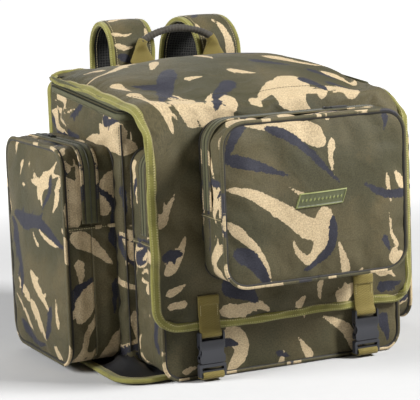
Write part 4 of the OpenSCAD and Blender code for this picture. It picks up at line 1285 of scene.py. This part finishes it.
# print on the upper, front part of the straps: (distance along the strap, across it)
STRAP_LEFT = [
    ("tan", [(84, -30), (78, -12), (84, 6)], 3.5, 0.8), ("tan", [(66, -28), (60, -12), (64, 2)], 4.5, 0.8),
    ("tan", [(112, -24), (122, -2), (118, 14)], 5, 0.8),
    ("navy", [(52, -26), (46, -6), (30, 6), (22, 16)], 6, 0.6),
    ("tan", [(36, -30), (24, -18), (10, -14)], 9, 0.6), ("tan", [(140, 10), (160, -10)], 8, 0.8),
    ("tan", [(90, 26), (70, 20)], 3, 0.8), ("navy", [(128, -20), (150, -26)], 6, 0.6),
]
STRAP_RIGHT = [
    ("tan", [(26, 14), (50, 18), (84, 14), (104, 2)], 8, 0.5), ("tan", [(12, 24), (40, 26)], 5, 0.6),
    ("navy", [(112, -20), (126, -2), (138, 6)], 5, 0.6), ("tan", [(128, -14), (150, 2)], 7, 0.7),
    ("tan", [(96, -26), (70, -22)], 4, 0.7), ("navy", [(60, -4), (44, 2)], 4, 0.7),
    ("tan", [(170, 14), (200, 0)], 8, 0.7),
]


def webbing(name, pts, thick, body, nodes=(), step=3.5, rounds=3):
    """Webbing along a smoothed line, with its width across the bag. Returns the line."""
    web = smooth_path(pts, step, rounds=rounds)
    later(sweep(name, web, (1.0, 0, 0), band(WEB_WIDTH, thick), "webbing"), rider(body), nodes)
    return web


def strap(s, name, lean):
    """One shoulder strap. lean is how far its front leg stands aside from its lower end."""
    node = box("shoulder_pad_" + name)
    cx = (node[0][0] + node[1][0]) / 2
    body = "shoulder_" + name
    n = len(line)
    t = np.linspace(0, 1, n)
    half_w = 33 * (0.90 + 0.10 * ease(t / 0.15)) * (1 - 0.42 * ease((t - 0.80) / 0.2) ** 1.6)
    thick = 5.6 * (0.45 + 0.55 * ease(t / 0.10)) * (1 - 0.45 * ease((t - 0.90) / 0.1))
    curve = cx + lean * (1 - 2 * ease((t - 0.05) / 0.5)) * (1 - ease((t - 0.55) / 0.35))
    k = 24
    a = np.arange(k) * 2 * math.pi / k
    ca, sa = np.cos(a), np.sin(a)
    px = np.sign(ca) * np.abs(ca) ** 0.75
    pz = np.sign(sa) * np.abs(sa) ** 0.62
    d = arc_len(line)
    crease = 1 + 0.10 * noise2(np.c_[d, d * 0], 26, 31) + 0.05 * noise2(np.c_[d, d * 0], 9, 32)
    prof = np.stack([px[None] * half_w[:, None], pz[None] * (thick * crease)[:, None]], -1)
    path = np.c_[curve, line]
    ob = sweep("shoulder_pad_cloth_" + name, path, (1.0, 0, 0), prof, "camo")
    ob.data.materials.append(MAT["mesh"])
    ob["thick"], ob["subdiv"] = 0, 1
    # the face towards the wearer is mesh
    me = ob.data
    tang = tangents(path, False)
    inner = np.cross(tang, (1.0, 0, 0))
    inward = np.c_[np.full(n, cx), np.full(n, arch[0]), np.minimum(line[:, 1], arch[1])] - path
    inner *= np.sign((inner * inward).sum(1, keepdims=True))
    for f in me.polygons:
        ring = min(f.vertices) // k
        if len(f.vertices) == 4 and f.normal @ Vector(inner[min(ring, n - 1)]) > 0.12:
            f.material_index = 1
    later(ob, rider(body), ["shoulder_pad_" + name],
          (50 + s, STRAP_LEFT if s < 0 else STRAP_RIGHT, ((70, 0, 110),)), 0.6)
    for e in (-1, 1):
        q = path + np.c_[e * (half_w - 1.0), np.zeros(n), np.zeros(n)]
        w = np.clip(thick / 5.6, 0.5, 1)
        pr = np.stack([4.6 * ca[None] * np.ones((n, 1)), 3.9 * sa[None] * w[:, None]], -1)
        edge_name = "%s_%s" % (name, "ab"[e > 0])
        later(sweep("shoulder_binding_" + edge_name, q, (1.0, 0, 0), pr, "tape"), rider(body))
        for g in (-1, 1):
            o = inner * g
            st = q - np.c_[np.full(n, e * 5.0), np.zeros(n), np.zeros(n)] + o * (thick * 0.86)[:, None]
            later(stitches("shoulder_stitch_" + edge_name + "io"[g > 0], st, o), rider(body))
    # webbing: up from the base, through the buckle, and the loose end hanging
    lower = [(cx, 160, 14), (cx, 166, 30), (cx, 205, 88), (cx, 238, 132), (cx, lock_y - 1.6, lock_z - 4),
             (cx, lock_y - 2.2, lock_z + 3), (cx, lock_y + 1.0, lock_z + 6)]
    webbing("strap_webbing_lower_" + name, lower, 1.9, body, ["strap_webbing_" + name])
    tail = [(cx, lock_y + 2.2, lock_z + 5), (cx, lock_y + 2.6, lock_z - 6), (cx + 1, lock_y + 4.0, 118),
            (cx + 2 * s, lock_y + 1.5, 92), (cx, lock_y + 2.5, 70)]
    tail = webbing("strap_webbing_tail_" + name, tail, 1.9, body)
    hem = [tail[-1] + (0, y, z) for y, z in ((-1.9, 12), (-2.6, 2), (-1.2, -1.6), (0.2, 1))]
    webbing("strap_webbing_hem_" + name, hem, 1.7, body, step=1.5)
    loop = [(cx, 251.5, 196), (cx, 252.8, 180), (cx, lock_y + 3.4, lock_z + 17),
            (cx, lock_y + 1.2, lock_z + 11.4), (cx, lock_y - 1.9, lock_z + 14),
            (cx, lock_y - 1.0, lock_z + 24), (cx, 246.5, 190)]
    webbing("strap_webbing_loop_" + name, loop, 1.7, body, step=2.5, rounds=2)


strap(-1, "left", -3)
strap(1, "right", 12)


# ---------------------------------------------------------------- carry handle

hx, hy, hz = at("handle_swing")
bend, reach = 107.0, 58.0
ga = math.asin(reach / bend)
grip_top = box("handle_grip")[1][2] - 5.5
lean = lambda z: hy + (z - hz) * math.tan(math.radians(5))      # the handle leans back by 5 degrees
arc = [(hx + bend * math.sin(a), grip_top - bend + bend * math.cos(a)) for a in np.linspace(-ga, ga, 80)]
path = np.array([(x, lean(z), z) for x, z in arc])
d = arc_len(path)
rr = 5.2 + 0.45 * np.sin(d * 2 * math.pi / 5.2) + 0.25 * noise2(np.c_[d, d], 9, 3)
a = np.arange(16) * 2 * math.pi / 16
lump = 1 + 0.06 * np.cos(a[None] * 2 + d[:, None] / 7)
prof = np.stack([rr[:, None] * np.cos(a) * lump, rr[:, None] * np.sin(a) * lump], -1)
grip = sweep("handle_grip_cloth", path, (0, 1.0, 0), prof, "grip")
later(grip, rider("handle"), ["handle_grip"], None, 0.9)
for e in (-1, 1):
    tag = "left" if e < 0 else "right"
    ez = arc[0][1]
    pts = [(hx + e * reach, 146, 366), (hx + e * reach, hy, 380), (hx + e * reach, lean(390), 390),
           (hx + e * reach, lean(ez - 14), ez - 14), (hx + e * (reach - 0.5), lean(ez - 3), ez - 3),
           (hx + e * (reach - 4), lean(ez + 2), ez + 2.5)]
    web = smooth_path(pts, 2.2, rounds=2)
    z = web[:, 2]
    half_w = 15 + 4.5 * ease((z - 386) / 8) - 12.5 * np.clip((z - 394) / (ez - 396), 0, 1) ** 0.9
    th = 1.2 + 4.6 * ease((z - ez + 16) / 14)
    ca, sa = np.cos(a), np.sin(a)
    sq = lambda v, p_: np.sign(v) * np.abs(v) ** p_
    # the two edges of the webbing fold back as it narrows
    foldy = 2.6 * ease((z - 388) / 14)
    px, pz = sq(ca, 0.6)[None] * half_w[:, None], sq(sa, 0.7)[None] * th[:, None]
    prof = np.stack([px, pz + foldy[:, None] * (np.abs(px) / half_w[:, None]) ** 3], -1)
    ob = sweep("handle_webbing_" + tag, web, (1.0, 0, 0), prof, "webbing")
    later(ob, bender(), ["handle_webbing"])


# ---------------------------------------------------------------- lid and base straps

bar = at("buckle_left_swing")
for e, name in ((-1, "left"), (1, "right")):
    cx = e * abs(bar[0])
    y0 = FLAP - 2.6
    front = [(cx, y0, 110), (cx, y0 - 0.1, 90), (cx, y0 - 1.6, 83), (cx, y0 - 2.0, 75), (cx, y0 - 3.0, 68),
             (cx, bar[1] - 3.0, bar[2] + 3), (cx, bar[1] - 2.8, bar[2] - 2), (cx, bar[1], bar[2] - 3.5),
             (cx, bar[1] + 2.8, bar[2] - 1), (cx, bar[1] + 3.0, bar[2] + 5), (cx, y0 - 1.0, 70)]
    webbing("lid_strap_" + name, front, 1.7, "flap", ["lid_straps"], step=2.0, rounds=2)
    hem = [(cx, y0 + 1.2, 112), (cx, y0 - 0.8, 112.4), (cx, y0 - 1.5, 110), (cx, y0 - 1.6, 100)]
    webbing("lid_strap_hem_" + name, hem, 1.5, "flap", step=1.5)
    box_ = [(cx + u * 12, y0 - 1.7, z) for u, z in ((-1, 84), (1, 84), (1, 106), (-1, 106))]
    p = smooth_path(box_ + box_[:1], 2.0, rounds=0)
    later(stitches("lid_strap_stitch_" + name, p, np.tile((0, -1.0, 0), (len(p), 1)), pitch=2.8, length=2.1),
          rider("flap"))
    male = box("buckle_male_" + name)
    my = (male[0][1] + male[1][1]) / 2
    low = [(cx, -170, 1.6), (cx, -194, 1.8), (cx, -202, 2.6), (cx, my - 1, 3.2), (cx, my - 6.2, 4.6),
           (cx, my - 6.0, 10), (cx, my - 2.0, 13.5), (cx, my + 1.0, 13.0), (cx, my + 1.6, 9.0),
           (cx, my + 1.2, 5.5), (cx, -201, 4.4), (cx, -194, 3.4)]
    webbing("base_strap_" + name, low, 1.6, "bag", ["base_straps"], step=2.0, rounds=2)


# ---------------------------------------------------------------- after the simulation

# flat place on a side wall: (distance from the front corner seam, height)
WALL = [
    ("tan", [(-420, 302), (-450, 304), (-500, 310), (-530, 306)], 13, 0.5),
    ("tan", [(-434, 318), (-460, 336), (-490, 344)], 13, 0.7),
    ("tan", [(-440, 326), (-470, 318), (-500, 330)], 12, 0.6),
    ("navy", [(-470, 346), (-486, 332), (-440, 338)], 7, 0.4), ("tan", [(-620, 352), (-614, 336)], 5, 0.7),
    ("navy", [(-600, 310), (-560, 306)], 6, 0.6), ("navy", [(-560, 350), (-590, 330)], 7, 0.6),
    ("tan", [(-418, 260), (-428, 220)], 9, 0.5), ("navy", [(-440, 250), (-436, 210)], 6, 0.6),
    ("tan", [(-424, 190), (-440, 140)], 10, 0.7), ("tan", [(-430, 80), (-424, 30)], 8, 0.6),
]
for ob, f in ((walls[0], "side_panel_left"), (walls[1], "side_panel_right"), (front_wall, "front_panel")):
    left = ob is walls[0]
    own, clear = (with_teeth(WALL, 3), ((-480, 320, 130),)) if left else ((), ())
    later(ob, rider("bag"), [f], (61 + len(f), own, clear))
# the seams down the two front corners
for e, tag in ((-1, "left"), (1, "right")):
    z = np.linspace(28, edge(SEAM) - 30, 70)
    n = np.array([e * 0.71, -0.71, 0])
    uneven = 0.8 + noise2(np.c_[z, z], 40, 5)[:, None] * 0.8
    c = np.c_[np.full(70, e * (SIDE_X - 3.2)), np.full(70, SEAM + 3.2), z] + n * uneven
    side = np.array([e * 0.71, 0.71, 0])
    later(stitches("corner_seam_stitch_" + tag, c + side * 3.0 + n * 0.2, np.tile(n, (70, 1)), "dark_thread"),
          rider("bag"))
    later(sweep("corner_seam_welt_" + tag, c - n * 0.2, side, circle(1.2, 8), "dark"), rider("bag"))
# the strip of cloth that joins the lid's rear edge to the back
leaf = [(144.4, 360), (144.2, 367), (143.2, 373), (141.0, 376.6), (137.6, 378.2), (133, 378.6),
        (128, 379.4), (124, 382), (119, 384.4)]
leaf = smooth_path([(BACK - 143 + a, hinge[2] - 386 + b) for a, b in leaf], 1.4, rounds=1)
across = np.linspace(-SIDE_X + 3, SIDE_X - 3, 60)
pts = np.array([[(x, a, b) for x in across] for a, b in leaf])
flat = np.array([[(x, k * 1.4) for x in across] for k in range(len(leaf))])
strip = make("lid_hinge_strip", pts.reshape(-1, 3), quads(len(leaf), len(across)), flat.reshape(-1, 2),
             "lining", "lining", thick=1.2, subdiv=1)
later(strip, bender())
turn = bender()

# the print on the lid and flap, drawn one by one: on the lid as (x, y), on the flap as (x, z)
ON_LID = [
    ("tan", [(-112, 22), (-140, -4), (-170, -16), (-188, -8)], 9, 0.5),
    ("tan", [(-152, 16), (-172, 52)], 4, 0.6), ("tan", [(-94, -14), (-114, -50)], 6, 0.4),
    ("tan", [(-22, 12), (-16, -40)], 6, 0.6), ("tan", [(-50, 40), (20, 46)], 6, 0.7),
    ("navy", [(-98, -70), (-118, -106), (-134, -136), (-150, -184)], 12, 0.6),
    ("navy", [(-116, -116), (-156, -98)], 9, 0.6), ("tan", [(-170, -86), (-166, -132)], 7, 0.6),
    ("tan", [(-168, -146), (-164, -182)], 8, 0.6),
    ("tan", [(-118, -174), (-134, -158), (-138, -132)], 13, 0.8), ("tan", [(-92, -108), (-68, -112)], 5, 0.6),
    ("navy", [(-34, -132), (-70, -166), (-84, -178)], 9, 0.3),
    ("tan", [(26, -144), (2, -166), (-22, -180)], 9, 0.3), ("tan", [(46, -142), (28, -178)], 20, 0.15),
    ("tan", [(40, -168), (62, -180)], 12, 0.3), ("navy", [(64, -136), (80, -162), (78, -182)], 8, 0.5),
    ("tan", [(96, -162), (80, -182)], 8, 0.5), ("tan", [(120, -160), (104, -194)], 15, 0.4),
    ("navy", [(100, -140), (140, -170)], 7, 0.6), ("tan", [(120, -96), (160, -128), (182, -120)], 10, 0.6),
    ("navy", [(96, -96), (130, -122)], 7, 0.6), ("tan", [(60, -40), (110, -62), (150, -50)], 9, 0.6),
    ("navy", [(30, -60), (80, -84)], 7, 0.6), ("tan", [(-20, -90), (14, -112)], 7, 0.7),
    ("navy", [(10, 10), (60, -14)], 7, 0.6), ("tan", [(120, 30), (160, 10)], 9, 0.6),
    ("tan", [(60, 60), (100, 84)], 10, 0.6), ("navy", [(-150, 70), (-100, 90)], 8, 0.6),
    ("tan", [(-90, 96), (-40, 110)], 8, 0.7),
]
ON_FLAP = [
    ("tan", [(-134, 366), (-128, 344), (-116, 330)], 12, 0.7), ("tan", [(-160, 364), (-154, 342)], 8, 0.7),
    ("tan", [(-110, 364), (-116, 348), (-102, 336)], 7, 0.5),
    ("tan", [(-72, 368), (-92, 344), (-106, 332)], 19, 0.3), ("navy", [(-82, 366), (-92, 350)], 7, 0.6),
    ("tan", [(-28, 368), (-26, 354)], 8, 0.4), ("tan", [(24, 368), (18, 352)], 20, 0.2),
    ("tan", [(114, 368), (106, 354)], 13, 0.4), ("tan", [(72, 368), (64, 352)], 8, 0.5),
    ("tan", [(-172, 110), (-146, 108)], 5, 0.1), ("tan", [(-172, 124), (-144, 136)], 6, 0.6),
    ("tan", [(-168, 160), (-146, 204)], 10, 0.7), ("tan", [(-180, 236), (-158, 268)], 8, 0.7),
    ("navy", [(-176, 190), (-150, 176)], 9, 0.6), ("navy", [(-90, 122), (-66, 112), (-44, 94)], 12, 0.5),
    ("tan", [(-96, 90), (-66, 88), (-46, 96), (-26, 84)], 9, 0.5), ("tan", [(52, 112), (50, 84)], 4, 0.4),
    ("tan", [(80, 84), (104, 100)], 11, 0.5), ("navy", [(0, 126), (26, 112)], 7, 0.6),
    ("tan", [(160, 300), (176, 250)], 10, 0.7), ("tan", [(170, 180), (158, 150)], 11, 0.6),
    ("navy", [(152, 240), (172, 200)], 8, 0.6), ("tan", [(140, 112), (168, 128)], 10, 0.6),
    ("navy", [(140, 90), (176, 100)], 7, 0.6), ("tan", [(12, 84), (30, 96)], 6, 0.7),
]


def flat_of(points, on_lid):
    """Where points of the lid (x, y) or of the flap (x, z) lie on the flat cloth."""
    part = sp[:NL + NA // 2] if on_lid else sp[NL:]
    fl = sflat[:NL + NA // 2] if on_lid else sflat[NL:]
    mid_ = part[:, NI // 2, 1 if on_lid else 2]
    out = []
    for x, c in points:
        j = int(np.argmin(np.abs(mid_ - c)))
        out.append((x, fl[j, 0, 1] + (0 if 0 < j < len(mid_) - 1 else c - mid_[j])))
    return out


strokes = [(kind, flat_of(pts, on_lid), w, tip)
           for table, on_lid in ((ON_LID, True), (ON_FLAP, False)) for kind, pts, w, tip in table]
strokes = with_teeth(strokes, 5, 1.2)
later(sheet, turn, ["lid_panel", "flap_panel"], (12, strokes, ((0, 0, 2000),)))

run_cloth()

# binding all round the lid and flap, folded over the cloth's edge
co, nm = coords(sheet), normals(sheet)
ring = ([j * cols for j in range(rows)] + [(rows - 1) * cols + i for i in range(1, cols)]
        + [j * cols + cols - 1 for j in range(rows - 2, -1, -1)] + list(range(cols - 2, 0, -1)))
both = smooth_path(np.c_[co[ring], nm[ring]], 3.6, True, 1)
edge_p, edge_n = both[:, :3], unit(both[:, 3:])
inward = unit(np.cross(edge_n, tangents(edge_p, True)))
middle = (edge_p.mean(0) - edge_p)
inward *= np.sign(np.median((inward * middle).sum(1)))
path = edge_p + inward * 4.6 - edge_n * 1.7
s_ = arc_len(path)
path += edge_n * (noise2(np.c_[s_, s_], 21, 17) * 0.5)[:, None]
later(sweep("lid_and_flap_binding", path, inward, band(12.5, 5.8), "tape", closed=True), turn,
      ["lid_binding", "flap_binding"])
p = edge_p + inward * 8.8 + edge_n * 1.4
later(stitches("lid_and_flap_binding_stitch", p, edge_n, closed=True), turn)

# a row of stitches across the lid, near its front edge
j = int(NL * 0.93)
row = [j * cols + i for i in range(2, cols - 2)]
later(stitches("lid_cross_stitch", co[row] + nm[row] * 0.3, nm[row], "dark_thread", pitch=4.2, length=3.0),
      turn)

# badge, lying on the lid pocket's swollen face
face = bpy.data.objects["lid_pocket_face"]
fc = coords(face)
b0, b1 = box("badge")
bw, bh, bc = b1[0] - b0[0], b1[2] - b0[2], (b0 + b1) / 2
BADGE_COLS, BADGE_ROWS = 91, 27
u, v = np.meshgrid(np.linspace(-1, 1, BADGE_COLS), np.linspace(-1, 1, BADGE_ROWS))
skew = 7.0
bx = bc[0] + u * (bw / 2 - skew * 0.5) + v * skew * 0.5
bz = bc[2] + v * bh / 2 + u * 0.8
dist = (bx.reshape(-1, 1) - fc[:, 0]) ** 2 + (bz.reshape(-1, 1) - fc[:, 2]) ** 2
w = 1 / (dist + 12) ** 3
ground = ((w * fc[:, 1]).sum(1) / w.sum(1)).reshape(bx.shape)
e_ = np.minimum((1 - np.abs(u)) * bw / 2, (1 - np.abs(v)) * bh / 2)
lozenge = np.abs((u * bw / 2 / 6.2 + 0.5) % 1 - 0.5) * 6.2 / 2.3 + np.abs(v) * bh / 2 / 3.0
lozenge = ease((1.0 - lozenge) / 0.3) * (np.abs(u) < 0.86)
raise_ = 1.6 * ease(e_ / 0.8) - 0.8 * ease((e_ - 1.7) / 0.8) + 0.7 * lozenge
by = ground - 0.2 - raise_
pts = np.vstack([np.stack([bx, y, bz], -1).reshape(-1, 3) for y in (by, ground + 0.6)])
badge = make("badge_plate", pts, slab_faces(BADGE_ROWS, BADGE_COLS), None, "badge")
badge.data.materials.append(MAT["badge_rim"])
proud_ = (e_ < 2.0) | (lozenge > 0.5)
for f in badge.data.polygons:
    k = list(f.vertices)
    if max(k) >= bx.size or proud_.reshape(-1)[k].mean() > 0.5:
        f.material_index = 1
later(badge, bender(), ["badge"])

for ob, follow, nodes, print_, pad in LATE:
    bake(ob)
    if print_:
        camo(ob, print_[0], print_[1], clear=print_[2])
    follow(ob)
    if nodes:
        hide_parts(*nodes)

# ---------------------------------------------------------------- hard parts carried over from the frame

SIDES = ("left", "right")
ZIPS = ("rim", "front_pocket", "side_left", "side_right", "lid_pocket")
buckles = [part + side for part in ("buckle_female_", "buckle_male_") for side in SIDES]
prongs = ["prong_%s_%s" % (side, end) for side in SIDES for end in "ab"]
locks = ["ladder_lock_" + side for side in SIDES]
HARD = [("plastic", "buckle_plastic", buckles + prongs + locks),
        ("metal", "slider_metal", [name + "_slider" for name in ZIPS]),
        ("rubber", "pull_rubber", [name + "_pull" for name in ZIPS]),
        ("board", "board", ["base_board"])]
for mat, slot_, nodes in HARD:
    for n in nodes:
        ob = frame["nodes"][n]
        ob.data.materials.clear()
        ob.data.materials.append(MAT[mat])
        m = ob.modifiers.new("edges", "BEVEL")
        m.width, m.segments, m.limit_method, m.angle_limit = 0.5 * MM, 3, "ANGLE", math.radians(35)
        m.harden_normals = True

FLOOR_REACH, FLOOR_DROP = 24, 0.0006      # half the floor's side, and how far it lies below zero
NEAR, FAR = 0.7, 2.2                      # how far out its painted glow starts and reaches full strength, in metres

floor = bpy.data.meshes.new("floor")
corners = ((-1, -1), (1, -1), (1, 1), (-1, 1))
floor.from_pydata([(x * FLOOR_REACH, y * FLOOR_REACH, -FLOOR_DROP) for x, y in corners], [], [(0, 1, 2, 3)])
floor = bpy.data.objects.new("floor", floor)
scene.collection.objects.link(floor)
t = Tree("floor")
fn = t.noise(t.node("TexCoord").outputs["Object"], 40, 4)
pale = t.mix(fn, (0.52, 0.52, 0.52), (0.541, 0.541, 0.541))
# far from the object the floor glows: painted light that turns it into a white backdrop
away = t.node("VectorMath", {0: t.node("TexCoord").outputs["Object"]}, operation="LENGTH").outputs["Value"]
floor.data.materials.append(t.finish(pale, 0.8, fn, 0.0001, 0.1, Emission_Color=(1, 1, 1),
                                     Emission_Strength=t.ramp(away, NEAR, FAR)))
